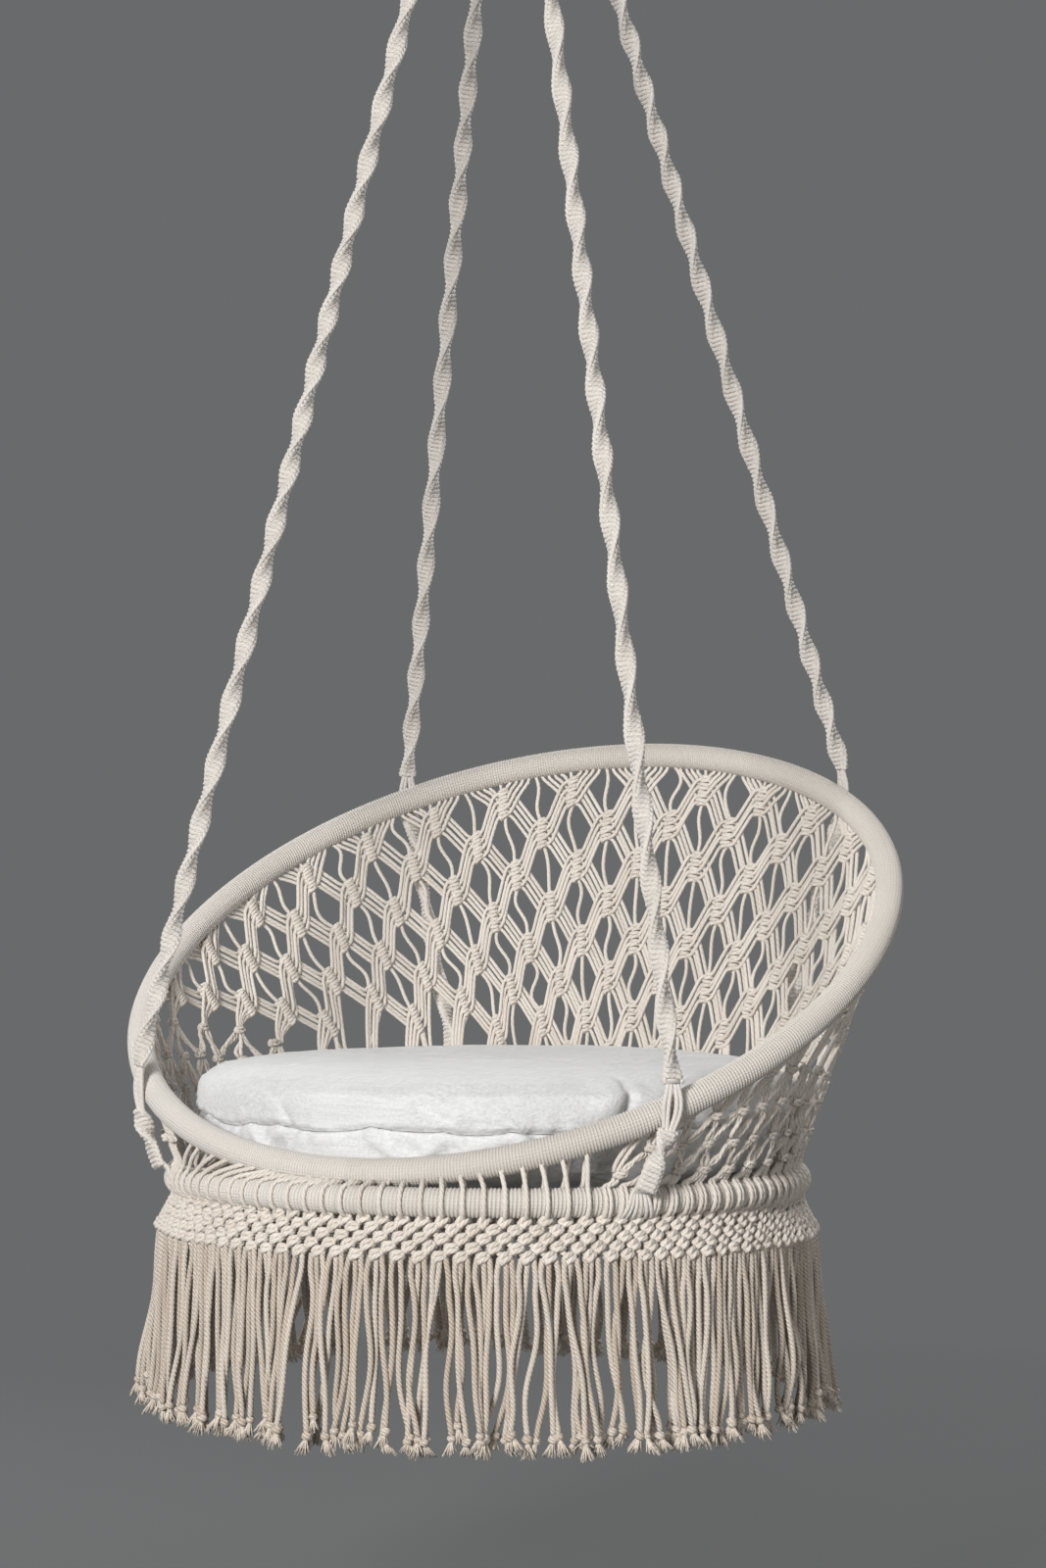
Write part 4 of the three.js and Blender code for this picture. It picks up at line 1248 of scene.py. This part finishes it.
def sinnet(cords, rope, start, end, sizes, random):
    """Half knots along a stretch of rope: two cords that wind round the fillers in turn. Each
    lies along the band's edge, and dips beside the edges as it crosses the band's faces."""
    step = sizes.half_knot
    knots = int((end - start) / step)
    psi = np.linspace(0, math.pi * knots, knots * STEPS_PER_KNOT + 1)
    for phase in (0, math.pi):
        turned = psi + phase
        run = start + step / math.pi * (psi + 0.64 * np.sin(2 * turned))
        c, s = np.cos(turned), np.sin(turned)
        wide = (BAND_HALF_WIDTH - 0.0012) * np.sign(c) * np.abs(c) ** 0.40
        dip = 1 - 0.4 * np.exp(-((np.abs(c) - 0.45) / 0.18) ** 2)
        thick = BAND_HALF_THICKNESS * np.sign(s) * np.abs(s) ** 0.9 * dip
        spots = np.arange(0, len(psi) + STEPS_PER_KNOT, STEPS_PER_KNOT)
        loose = np.interp(np.arange(len(psi)), spots, random.normal(1, 0.05, len(spots)))
        way, line = rope.at(run, wide * loose, thick)
        cords.add(way, unit(way - line), KNOTTING_CORD, 6)
    run = np.linspace(start, end, 3 * knots + 1)
    for side in (-1, 1):
        bump = np.sin(TURN * (run - start) / step + side)
        way, line = rope.at(run, side * (BAND_HALF_WIDTH + 0.0003 * bump), 0.0004 * bump)
        cords.add(way, unit(way - line), 0.0020 + 0.0002 * bump, 6)
    run = np.linspace(start, end, max(6, int((end - start) / 0.006)))
    beside, line = rope.at(run, np.zeros(len(run)), np.full(len(run), 1.0))
    cords.add(line, unit(beside - line), BAND_HALF_WIDTH - 0.0004, 8, flat=0.60)


def make_ropes(sizes, colours):
    # Painted shade: the ropes' cotton is the wrap's colour a little darker
    material = cotton_cord("rope_cotton", shade(colours.wrap, 0.99), 2, 0.0045, 0.00030, 0.22)
    random = np.random.default_rng(sizes.seed + 20)
    for end, turn, foot in (("front", FRONT_ROPE, FRONT_FOOT), ("back", BACK_ROPE, BACK_FOOT)):
        for side_name, side in (("left", 1), ("right", -1)):
            cords = Cords(sizes.seed)
            looser = ROPE_SPIRALS[end, side_name]
            rope = RopeFrame(side * turn, side * foot, sizes.spiral * looser)
            sinnet(cords, rope, 0.001, rope.meets - KNOTS_ABOVE, sizes, random)
            sinnet(cords, rope, rope.meets + KNOTS_BELOW, rope.length - 0.002, sizes, random)
            run = np.linspace(rope.meets - BARE_ABOVE, rope.meets + BARE_BELOW, 18)
            open_up = np.cos((run - rope.meets + OPEN_ABOVE) / OPEN_REACH * math.pi / 2) ** 2
            for pair in (-1, 1):
                for cord in (-0.5, 0.5):
                    wide = (pair * (PAIRS_APART + PAIRS_OPEN * open_up)
                            + cord * (CORDS_APART + CORDS_OPEN * open_up))
                    way, _ = rope.at(run, wide, np.full(len(run), BARE_DEPTH))
                    cords.add(way, rope.away, 0.5 * sizes.cord, 7)
            name = f"rope_{end}_{side_name}"
            cords.piece(f"{name}_sinnet", material, CHAIR, [name])
            make_foot(f"rope_foot_{end}_{side_name}", rope, side * foot, sizes, material, random)


def make_foot(node, rope, turn, sizes, material, random):
    """The rope's cords, fanned out over the outside of the seat hoop."""
    cords = Cords(sizes.seed)
    ways = []
    for share in np.linspace(-1, 1, FOOT_CORDS):
        start, _ = rope.at(np.array([rope.length - FOOT_ABOVE]), np.array([FOOT_NARROW * share]),
                           np.array([0.0]))
        spread = share * (FOOT_WIDE + FOOT_FAN * np.linspace(0, 1, 10)) / SEAT_RADIUS
        bent = bent_over(turn + spread + random.normal(0, 0.002), 34, -88, 10,
                         WRAP + 0.5 * sizes.cord)
        ways.append(np.concatenate([start, bent]))
    ways = routed(np.array(ways), 15, 1)
    cords.add(ways, unit(ways - SEAT), 0.52 * sizes.cord, 6)
    cords.piece(f"{node}_fan", material, CHAIR, [node])


# Gathering, head and ring

# The gathering and the head, in metres, and the loops on the ring
BUNDLE_CORDS = 18
NECK = 0.0135
FLARE_SHARE = 0.3
WINDING_TURNS, WINDING_CORD, WINDING_REACH = 10, 0.005, 0.0164
HEAD_END, HEAD_TOP, HEAD_CORE = 0.0005, 0.012, 0.0105
LOOPS, LOOPS_SPAN, LOOP_CORD = 9, 50 * DEGREE, 0.0024


def bundle(cords, reach, lean, heights, radius):
    """Cords side by side round the chair's middle line, each at a reach and a lean by height."""
    for turn in TURN * np.arange(BUNDLE_CORDS) / BUNDLE_CORDS:
        way = reach[:, None] * outward(turn + lean) + heights[:, None] * upright()
        cords.add(way, outward(turn), radius, 7)


def filler(cords, low, high, radius):
    """The cord that fills a bundle's middle."""
    cords.add(np.linspace(low, high, 8)[:, None] * upright(), outward(TURN / 4), radius, 16)


def make_gathering(sizes, colours):
    """The four ropes' cords drawn together, and the winding round them."""
    material = cotton_cord("gather_cotton", colours.cotton, 3, 0.012, 0.00035, 0.28)
    neck = NECK - 0.5 * sizes.cord
    low, high = gather_low[2], gather_high[2]
    share = np.linspace(0, 1, 16)
    flare = np.clip(1 - share / FLARE_SHARE, 0, 1) ** 1.3
    cords = Cords(sizes.seed)
    bundle(cords, neck + (gather_high[0] - 0.0025 - neck) * flare, 0.5 * (share - FLARE_SHARE),
           low + (high - low) * share, 0.5 * sizes.cord * 1.1)
    filler(cords, low + 0.001, high, neck - 0.0002)
    cords.piece("gathered_bundle", material, CHAIR, ["gathered_cords"])

    winding_low, winding_high = corners("gathering_winding")
    winding = Cords(sizes.seed)
    pitch = (winding_high[2] - winding_low[2] - WINDING_CORD) / WINDING_TURNS
    run = np.linspace(0, WINDING_TURNS, WINDING_TURNS * 30)
    way = (WINDING_REACH * outward(TURN * run)
           + (winding_low[2] + WINDING_CORD / 2 + pitch * run)[:, None] * upright())
    winding.add(way, unit(way * (1, 1, 0)), 0.5 * WINDING_CORD * 1.04, 9, 3, 0.014, 0.10)
    winding.piece("winding_cord", material, CHAIR, ["gathering_winding"])


def make_head(sizes, colours):
    """The bundle between the winding and the ring, and its loops over the ring's bar."""
    material = cotton_cord("head_cotton", colours.cotton, 3, 0.012, 0.00035, 0.28)
    cords = Cords(sizes.seed)
    low, high = head_low[2], head_high[2]
    share = np.linspace(0, 1, 14)
    reach = np.interp(share, [0, 0.5, 1], [NECK, head_high[1], HEAD_TOP]) - 0.5 * sizes.cord
    bundle(cords, reach, 0.35 * share, low + HEAD_END + (high - low - 2 * HEAD_END) * share,
           0.5 * sizes.cord * 1.05)
    filler(cords, low + HEAD_END, high - HEAD_END, HEAD_CORE)
    cords.piece("head_bundle", material, "head", ["rope_head"])

    collar = Cords(sizes.seed)
    angle = np.linspace(0, TURN, 25)[:, None]
    front = np.array([0, 1.0, 0])
    size = 0.5 * (RING_BAR + 0.0106)
    for index in range(LOOPS):
        at = (index - (LOOPS - 1) / 2) / (LOOPS - 1) * LOOPS_SPAN
        away = np.array([math.sin(at), 0, -math.cos(at)])
        spot = RING_MIDDLE + RING_RADIUS * away
        way = spot + size * (np.cos(angle) * away + np.sin(angle) * front)
        collar.add(way, unit(way - spot), LOOP_CORD, 8)
    collar.piece("ring_loops", material, "collar", ["ring_collar"])


def make_ring(sizes, colours):
    """The steel ring that the chair hangs from."""
    angle = np.linspace(0, TURN, 97)
    way = RING_MIDDLE + RING_RADIUS * np.stack(
        [np.sin(angle), np.zeros(len(angle)), np.cos(angle)], axis=-1)
    ring = Cords()
    ring.add(way, unit(way - RING_MIDDLE), RING_BAR, 20)
    ring.piece("steel_ring", brushed_steel("ring_steel", colours.steel), "ring",
               ["hanging_ring"], "steel")


# Seat net and cushion

# The seat net, in metres
SEAT_NET_PITCH = 0.058
SEAT_NET_SAG = 0.0030
SEAT_STRANDS_APART = 0.0046
SEAT_HITCH_WIDTH, SEAT_HITCH_HEIGHT, SEAT_HITCH_CORD = 0.0075, 0.0040, 0.0019


def make_seat_net(sizes, colours):
    """The net inside the seat hoop: bundles of cord both ways across, hitched where they meet."""
    material = cotton_cord("seat_net_cotton", colours.cotton, 2, 0.011, 0.00030, 0.22)
    cords = Cords(sizes.seed)
    inner = SEAT_RADIUS - 0.8 * WRAP
    lines = np.arange(-4, 5) * SEAT_NET_PITCH
    share = np.linspace(-1, 1, 60)
    directions = (np.array([1, 1, 0]) / math.sqrt(2), np.array([1, -1, 0]) / math.sqrt(2))
    for index, along in enumerate(directions):
        level = (index - 0.5) * 0.0036 - SEAT_NET_SAG * (1 - share ** 2)
        for offset in lines:
            for strand in (-1, 0, 1):
                aside = offset + strand * SEAT_STRANDS_APART
                run = math.sqrt(max(inner ** 2 - aside ** 2, 0)) * share
                way = SEAT + run[:, None] * along + aside * directions[1 - index]
                cords.add(way + level[:, None] * upright(), upright(), 0.5 * sizes.cord, 6)
    angle = np.linspace(0, TURN, 10)[:, None]
    for i in lines:
        for j in lines:
            if math.hypot(i, j) > inner - 0.02:
                continue
            sag = SEAT_NET_SAG * (1 - (math.hypot(i, j) / inner) ** 2)
            spot = SEAT + i * directions[1] + j * directions[0] - upright(sag)
            for lift in (-0.0032, 0.0032):
                way = (spot + SEAT_HITCH_WIDTH * np.cos(angle) * directions[0]
                       + lift * directions[1] + SEAT_HITCH_HEIGHT * np.sin(angle) * upright())
                cords.add(way, directions[1], SEAT_HITCH_CORD, 5)
    cords.piece("seat_net_cords", material, CHAIR, ["seat_net"])


# The cushion, in metres. Its outline is in shares of its radius and height, from below upwards.
CUSHION_OUTLINE = (
    (0, 0.04), (0.55, 0.04), (0.80, 0.04), (0.87, 0.06), (0.92, 0.12), (0.955, 0.22),
    (0.975, 0.36), (0.985, 0.50), (0.985, 0.58), (1, 0.68), (1, 0.82), (0.99, 0.905),
    (0.965, 0.95), (0.93, 0.97), (0.80, 0.98), (0.5, 0.985), (0, 0.985))
CUSHION_STEPS = 96
FILL_FRAMES, FILL_LIMIT = 20, 0.006
SEAM_HEIGHT = 0.058
PULLS, PULL_HEIGHT, PULL_WIDTH = 25, 0.044, 0.008
SIDE_CREASES, TOP_FOLDS = 90, 80
CORNER_FOLD = 50 * DEGREE
# How far the top falls from its rear edge to its middle, and again from there to its front
FRONT_SINK = 0.0055
CUSHION_MARGIN_LOW, CUSHION_MARGIN_HIGH = (0.006, 0.006, 0), (0.006, 0.006, 0.004)


def cushion_form():
    """The cushion's start shape: a low round box with a soft edge, flat on top."""
    middle = (cushion_low + cushion_high) / 2
    radius = CUSHION_RADIUS + 0.003
    spots, faces = [], []
    for out, up in CUSHION_OUTLINE:
        count = 1 if out == 0 else CUSHION_STEPS
        for step in range(count):
            spots.append(middle * (1, 1, 0) + radius * out * outward(TURN * step / count)
                         + (cushion_low[2] + CUSHION_HEIGHT * up) * upright())
    for step in range(CUSHION_STEPS):
        ahead = (step + 1) % CUSHION_STEPS
        faces.append((0, 1 + ahead, 1 + step))
        for ring in range(len(CUSHION_OUTLINE) - 3):
            base, above = 1 + ring * CUSHION_STEPS, 1 + (ring + 1) * CUSHION_STEPS
            faces.append((base + step, base + ahead, above + ahead, above + step))
        base = 1 + (len(CUSHION_OUTLINE) - 3) * CUSHION_STEPS
        faces.append((base + step, base + ahead, len(spots) - 1))
    mesh = bpy.data.meshes.new("cushion_form")
    mesh.from_pydata([tuple(spot) for spot in spots], [], faces)
    return mesh, middle


def applied(piece):
    """Gives a piece a new mesh with its modifiers worked in."""
    mesh = bpy.data.meshes.new_from_object(
        piece.evaluated_get(bpy.context.evaluated_depsgraph_get()))
    piece.modifiers.clear()
    piece.data = mesh
    return mesh


def swell(piece, frames, limit):
    """Fills a closed cover with air for a few frames, and keeps each move within a limit."""
    start = get_spots(piece.data)
    cloth = piece.modifiers.new("fill", "CLOTH")
    settings = cloth.settings
    settings.quality = 4
    settings.mass = 0.3
    settings.tension_stiffness = 12
    settings.compression_stiffness = 12
    settings.shear_stiffness = 6
    settings.bending_stiffness = 0.2
    settings.shrink_min = -0.035
    settings.use_pressure = True
    settings.uniform_pressure_force = 1.2
    settings.effector_weights.gravity = 0
    scene = bpy.context.scene
    for step in range(1, frames + 1):
        scene.frame_set(step)
    view = piece.evaluated_get(bpy.context.evaluated_depsgraph_get())
    move = get_spots(view.data) - start
    piece.modifiers.remove(cloth)
    scene.frame_set(1)
    length = np.linalg.norm(move, axis=1, keepdims=True)
    return start + move * np.minimum(1, limit / np.maximum(length, 1e-9))


def make_cushion(sizes, colours):
    """A full round cushion: its cover is filled in a cloth simulation, then creased and seamed."""
    form, middle = cushion_form()
    piece = in_scene("seat_cushion", form)
    bpy.context.view_layer.objects.active = piece
    remesh = piece.modifiers.new("even", "REMESH")
    remesh.mode = "VOXEL"
    remesh.voxel_size = 0.0052
    even = applied(piece)
    put_spots(even, swell(piece, FILL_FRAMES, FILL_LIMIT))
    even.update()
    smooth = piece.modifiers.new("fine", "SUBSURF")
    smooth.levels = smooth.render_levels = 1
    fine = applied(piece)
    fine.name = "seat_cushion"
    spots, beside_seam = cushion_creases(get_spots(fine), middle, sizes)
    put_spots(fine, spots)
    fine.attributes.new("beside_seam", "FLOAT", "POINT").data.foreach_set("value", beside_seam)
    fine.update()
    fine.shade_smooth()
    fine.materials.clear()
    fine.materials.append(linen_cloth("cushion_linen", colours.linen))
    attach(piece, "seat_cushion")
    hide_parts("cushion")


def cushion_creases(spots, middle, sizes):
    """Presses in the side seam with its puckers, and lays soft folds over the cover. Also gives
    how far above the seam each point lies, or 1 where it is far from the side."""
    random = np.random.default_rng(sizes.seed + 30)
    flat = spots[:, :2] - middle[:2]
    reach = np.linalg.norm(flat, axis=1)
    turn = np.arctan2(flat[:, 0], -flat[:, 1])
    outer = unit(np.concatenate([flat, np.zeros((len(flat), 1))], axis=1))
    size = CUSHION_RADIUS
    up = spots[:, 2] - cushion_low[2]

    # Pulls: ridges that run aslant below the seam, with a hollow beside each
    seam = SEAM_HEIGHT + 0.0022 * (np.sin(5 * turn + 1) + np.sin(13 * turn)) * 0.6
    pull = np.zeros(len(spots))
    fade = np.exp(-((up - PULL_HEIGHT) / 0.017) ** 2)
    below = np.clip(SEAM_HEIGHT - up, 0, 0.05)
    for step in range(PULLS):
        centre = (step + random.uniform(-0.3, 0.3)) * TURN / PULLS
        gap = turn_gap(turn, centre) * size
        strong, lean = random.uniform(0.4, 1), random.choice((-1, 1)) * random.uniform(0.5, 1.1)
        seam = seam + 0.0050 * strong * np.exp(-(np.abs(gap) / 0.011) ** 1.2)
        run = gap - lean * below
        pull += strong * fade * (0.0062 * np.exp(-(run / PULL_WIDTH) ** 2)
                                 - 0.0042 * np.exp(-((run - 0.019) / 0.010) ** 2))

    # Seam: a groove with a lip above it, and puckers to both sides
    side = np.clip((reach / size - 0.80) / 0.1, 0, 1)
    groove = np.exp(-((up - seam) / 0.0026) ** 2)
    near = np.exp(-((up - seam) / 0.017) ** 2)
    pucker = sum(random.uniform(0.6, 1) * np.sin(n * turn + random.random() * TURN)
                 for n in (31, 47, 68, 90)) / 3
    lip = np.exp(-((up - seam - 0.0065) / 0.0040) ** 2)
    push = pull - 0.0040 * groove + 0.0016 * lip + 0.0020 * near * pucker
    for _ in range(SIDE_CREASES):
        centre, lean = random.random() * TURN, random.normal(0, 0.9)
        level, tall = seam + random.normal(0, 0.022), random.uniform(0.010, 0.026)
        gap = turn_gap(turn, centre) * size - lean * (up - level)
        wide = random.uniform(0.0028, 0.008)
        push = push + (random.uniform(-0.8, 1) * 0.0040
                       * np.exp(-(gap / wide) ** 2 - ((up - level) / tall) ** 2))

    # The one deep fold that runs up from the seam, with a swell beside it
    gap = (turn - CORNER_FOLD) * size - 0.3 * (up - seam)
    push = push - 0.0075 * np.exp(-(gap / 0.006) ** 2) * np.clip((up - 0.03) / 0.04, 0, 1)
    push = push + 0.0040 * np.exp(-((gap + 0.022) / 0.014) ** 2) * np.clip((up - 0.05) / 0.03, 0, 1)

    # Soft folds on the top
    folds = np.zeros(len(spots))
    for _ in range(TOP_FOLDS):
        centre = middle[:2] + 0.24 * math.sqrt(random.random()) * outward(random.random() * TURN)[:2]
        way = random.normal(0.35, 0.45)
        along = np.array([math.cos(way), math.sin(way)])
        offset = spots[:, :2] - centre
        run, across = offset @ along, offset @ np.array([-along[1], along[0]])
        long, wide = random.uniform(0.025, 0.09), random.uniform(0.0035, 0.010)
        bow = across - random.normal(0, 2.5) * run ** 2
        folds += random.uniform(-0.8, 1) * np.exp(-(run / long) ** 2 - (bow / wide) ** 2)
    top = np.clip((up / CUSHION_HEIGHT - 0.80) / 0.12, 0, 1)
    moved = spots + (push * side)[:, None] * outer
    moved[:, 2] += 0.0015 * folds * top
    moved[:, 2] -= (np.clip(up / CUSHION_HEIGHT, 0, 1) * FRONT_SINK
                    * (1 + flat @ outward(0)[:2] / size))
    moved = np.clip(moved, cushion_low - CUSHION_MARGIN_LOW, cushion_high + CUSHION_MARGIN_HIGH)
    return moved, np.where(reach > 0.8 * size, up - seam, 1.0)


# Studio

# The camera as it was fitted to both hoops, from the seat hoop's middle, in metres and degrees
CAMERA_TURN, CAMERA_RISE, CAMERA_ROLL = 25.97, -2.44, 0.40
CAMERA_PLACE = (1.284, -2.567, 0.244)
PHOTO_HEIGHT, FOCAL_PIXELS = 1600, 3112
FLOOR_BELOW = 0.27
FLOOR_RADIUS, FLOOR_STEPS = 6.0, 96
# How far from the middle the floor begins to fade, and over what distance it is gone
FLOOR_WHOLE, FLOOR_FADE = 0.9, 1.6
AMBIENT = 0.12
# Each lamp's place, from the origin across and from the seat hoop up, then its width, watts, colour
LAMPS = {"key": ((0.15, -4.6, 1.5), 1.3, 236, (1, 0.995, 0.98)),
         "edge": ((-2.4, 1.0, 1.2), 1.4, 42, (0.97, 0.98, 1)),
         "side": ((2.5, -1.5, 0.1), 1.6, 13, (1, 1, 1)),
         "rim": ((0.3, 2.4, 1.8), 1.4, 58, (1, 1, 1))}
LAMPS_AIM = 0.25


def make_camera():
    """The camera at the photograph's angle."""
    turn, rise, roll = (angle * DEGREE for angle in (CAMERA_TURN, CAMERA_RISE, CAMERA_ROLL))
    back = np.array([math.sin(turn) * math.cos(rise), -math.cos(turn) * math.cos(rise),
                     math.sin(rise)])
    right = np.array([math.cos(turn), math.sin(turn), 0])
    up = np.cross(back, right)
    right, up = (right * math.cos(roll) + up * math.sin(roll),
                 up * math.cos(roll) - right * math.sin(roll))
    data = bpy.data.cameras.new("camera")
    data.sensor_fit = "VERTICAL"
    data.sensor_height = 36.0
    data.lens = data.sensor_height * FOCAL_PIXELS / PHOTO_HEIGHT
    data.clip_start, data.clip_end = 0.05, 60
    camera = in_scene("camera", data)
    rows = zip(np.stack([right, up, back], axis=1), SEAT + CAMERA_PLACE)
    camera.matrix_world = Matrix([(*row, place) for row, place in rows] + [(0, 0, 0, 1)])
    bpy.context.scene.camera = camera


def add_lamp(name, place, size, power, colour):
    """A round soft lamp that looks at the chair."""
    data = bpy.data.lights.new(name, "AREA")
    data.shape, data.size, data.energy, data.color = "DISK", size, power, colour
    lamp = in_scene(name, data)
    lamp.location = place
    aim = Vector(SEAT + upright(LAMPS_AIM)) - lamp.location
    lamp.rotation_euler = aim.to_track_quat("-Z", "Y").to_euler()


def make_backdrop(colours):
    """A backdrop in the studio's colour, and a weaker even light on the chair."""
    world = bpy.data.worlds.new("studio")
    bpy.context.scene.world = world
    world.use_nodes = True
    sky = Shading(world.node_tree)
    ambient = sky.tree.nodes["Background"]
    sky.put(ambient.inputs["Color"], (1, 1, 1, 1))
    sky.put(ambient.inputs["Strength"], AMBIENT)
    seen = sky.node("ShaderNodeBackground", color=(*colours.studio, 1.0))
    rays = sky.node("ShaderNodeLightPath")
    camera, glossy = (sky.value(rays.outputs[f"Is {kind} Ray"]) for kind in ("Camera", "Glossy"))
    sky.mixed(camera.math("MAXIMUM", camera, glossy), ambient, seen, "World Output")


def make_floor(colours):
    """A plain round floor that fades into the backdrop."""
    mesh = bpy.data.meshes.new("floor")
    rim = [tuple(FLOOR_RADIUS * outward(TURN * i / FLOOR_STEPS)) for i in range(FLOOR_STEPS)]
    mesh.from_pydata(rim, [], [tuple(range(FLOOR_STEPS))])
    floor = in_scene("floor", mesh)
    floor.location = (0, 0, fringe_low[2] - FLOOR_BELOW)
    finish = Finish("floor_paint")
    x, y, _ = finish.place()
    away = (x * x + y * y).math("SQRT", x * x + y * y)
    fade = ((away - FLOOR_WHOLE) / FLOOR_FADE).held()
    paint = finish.blend(finish.noise(1.5), shade(colours.studio, 0.60),
                         shade(colours.studio, 0.66))
    finish.put(finish.shader.inputs["Base Color"], paint)
    finish.put(finish.shader.inputs["Roughness"], 0.9)
    clear = finish.node("ShaderNodeBsdfTransparent")
    finish.mixed(fade, finish.shader, clear, "Material Output")
    mesh.materials.append(finish.material)


def make_studio(sizes, colours):
    """The floor, the backdrop, soft lamps, and the camera."""
    bpy.context.scene.view_settings.view_transform = "Standard"
    make_backdrop(colours)
    make_floor(colours)
    for name, (place, *lamp) in LAMPS.items():
        add_lamp(name, (place[0], place[1], SEAT[2] + place[2]), *lamp)
    make_camera()


# Operators, panel and registration

def make(context, action):
    """Runs one step with the sizes and colours that the panel shows."""
    action(context.scene.chair_sizes, context.scene.chair_colours)
    return {"FINISHED"}


class CHAIR_OT_studio(bpy.types.Operator):
    """Sets the floor, the backdrop, the lamps and the camera"""

    bl_idname = "chair.studio"
    bl_label = "Studio"

    def execute(self, context):
        return make(context, make_studio)


class CHAIR_OT_ring(bpy.types.Operator):
    """Makes the steel ring"""

    bl_idname = "chair.ring"
    bl_label = "Ring"

    def execute(self, context):
        return make(context, make_ring)


class CHAIR_OT_head(bpy.types.Operator):
    """Makes the loops on the ring and the bundle below them"""

    bl_idname = "chair.head"
    bl_label = "Head"

    def execute(self, context):
        return make(context, make_head)


class CHAIR_OT_gathering(bpy.types.Operator):
    """Makes the gathered cords and their winding"""

    bl_idname = "chair.gathering"
    bl_label = "Gathering"

    def execute(self, context):
        return make(context, make_gathering)


class CHAIR_OT_ropes(bpy.types.Operator):
    """Knots the four spiral ropes and fans out their feet"""

    bl_idname = "chair.ropes"
    bl_label = "Ropes"

    def execute(self, context):
        return make(context, make_ropes)


class CHAIR_OT_hoops(bpy.types.Operator):
    """Winds the thin cord round both hoops"""

    bl_idname = "chair.hoops"
    bl_label = "Hoops"

    def execute(self, context):
        return make(context, make_hoops)


class CHAIR_OT_slanted_net(bpy.types.Operator):
    """Makes the net's crossings and strands"""

    bl_idname = "chair.slanted_net"
    bl_label = "Slanted net"

    def execute(self, context):
        return make(context, make_slanted_net)


class CHAIR_OT_tied_net(bpy.types.Operator):
    """Ties the net's lower rows"""

    bl_idname = "chair.tied_net"
    bl_label = "Tied net"

    def execute(self, context):
        return make(context, make_tied_net)


class CHAIR_OT_seat_loops(bpy.types.Operator):
    """Leads the cords over the seat hoop"""

    bl_idname = "chair.seat_loops"
    bl_label = "Seat loops"

    def execute(self, context):
        return make(context, make_seat_loops)


class CHAIR_OT_seat_net(bpy.types.Operator):
    """Makes the net under the cushion"""

    bl_idname = "chair.seat_net"
    bl_label = "Seat net"

    def execute(self, context):
        return make(context, make_seat_net)


class CHAIR_OT_cushion(bpy.types.Operator):
    """Fills, creases and seams the cushion"""

    bl_idname = "chair.cushion"
    bl_label = "Cushion"

    def execute(self, context):
        return make(context, make_cushion)


class CHAIR_OT_skirt(bpy.types.Operator):
    """Ties the skirt's plump knots"""

    bl_idname = "chair.skirt"
    bl_label = "Skirt"

    def execute(self, context):
        return make(context, make_skirt)


class CHAIR_OT_fringe(bpy.types.Operator):
    """Hangs the fringe with its end knots"""

    bl_idname = "chair.fringe"
    bl_label = "Fringe"

    def execute(self, context):
        return make(context, make_fringe)


STEPS = [CHAIR_OT_studio, CHAIR_OT_ring, CHAIR_OT_head, CHAIR_OT_gathering,
         CHAIR_OT_ropes, CHAIR_OT_hoops, CHAIR_OT_slanted_net, CHAIR_OT_tied_net,
         CHAIR_OT_seat_loops, CHAIR_OT_seat_net, CHAIR_OT_cushion, CHAIR_OT_skirt, CHAIR_OT_fringe]


class CHAIR_PT_pieces(bpy.types.Panel):
    """Lists the chair's pieces, and their sizes and colours."""

    bl_label = "Hammock chair"
    bl_space_type = "VIEW_3D"
    bl_region_type = "UI"
    bl_category = "Hammock"

    def draw(self, context):
        for group in (context.scene.chair_sizes, context.scene.chair_colours):
            box = self.layout.box()
            for key in group.__annotations__:
                box.prop(group, key)
        for step in STEPS:
            self.layout.operator(step.bl_idname)


CLASSES = [ChairSizes, ChairColours, *STEPS, CHAIR_PT_pieces]


def register():
    for cls in CLASSES:
        bpy.utils.register_class(cls)
    bpy.types.Scene.chair_sizes = bpy.props.PointerProperty(type=ChairSizes)
    bpy.types.Scene.chair_colours = bpy.props.PointerProperty(type=ChairColours)


def unregister():
    del bpy.types.Scene.chair_colours
    del bpy.types.Scene.chair_sizes
    for cls in reversed(CLASSES):
        bpy.utils.unregister_class(cls)


def main():
    register()
    for step in STEPS:
        namespace, name = step.bl_idname.split(".")
        getattr(getattr(bpy.ops, namespace), name)()


if __name__ == "__main__":
    main()
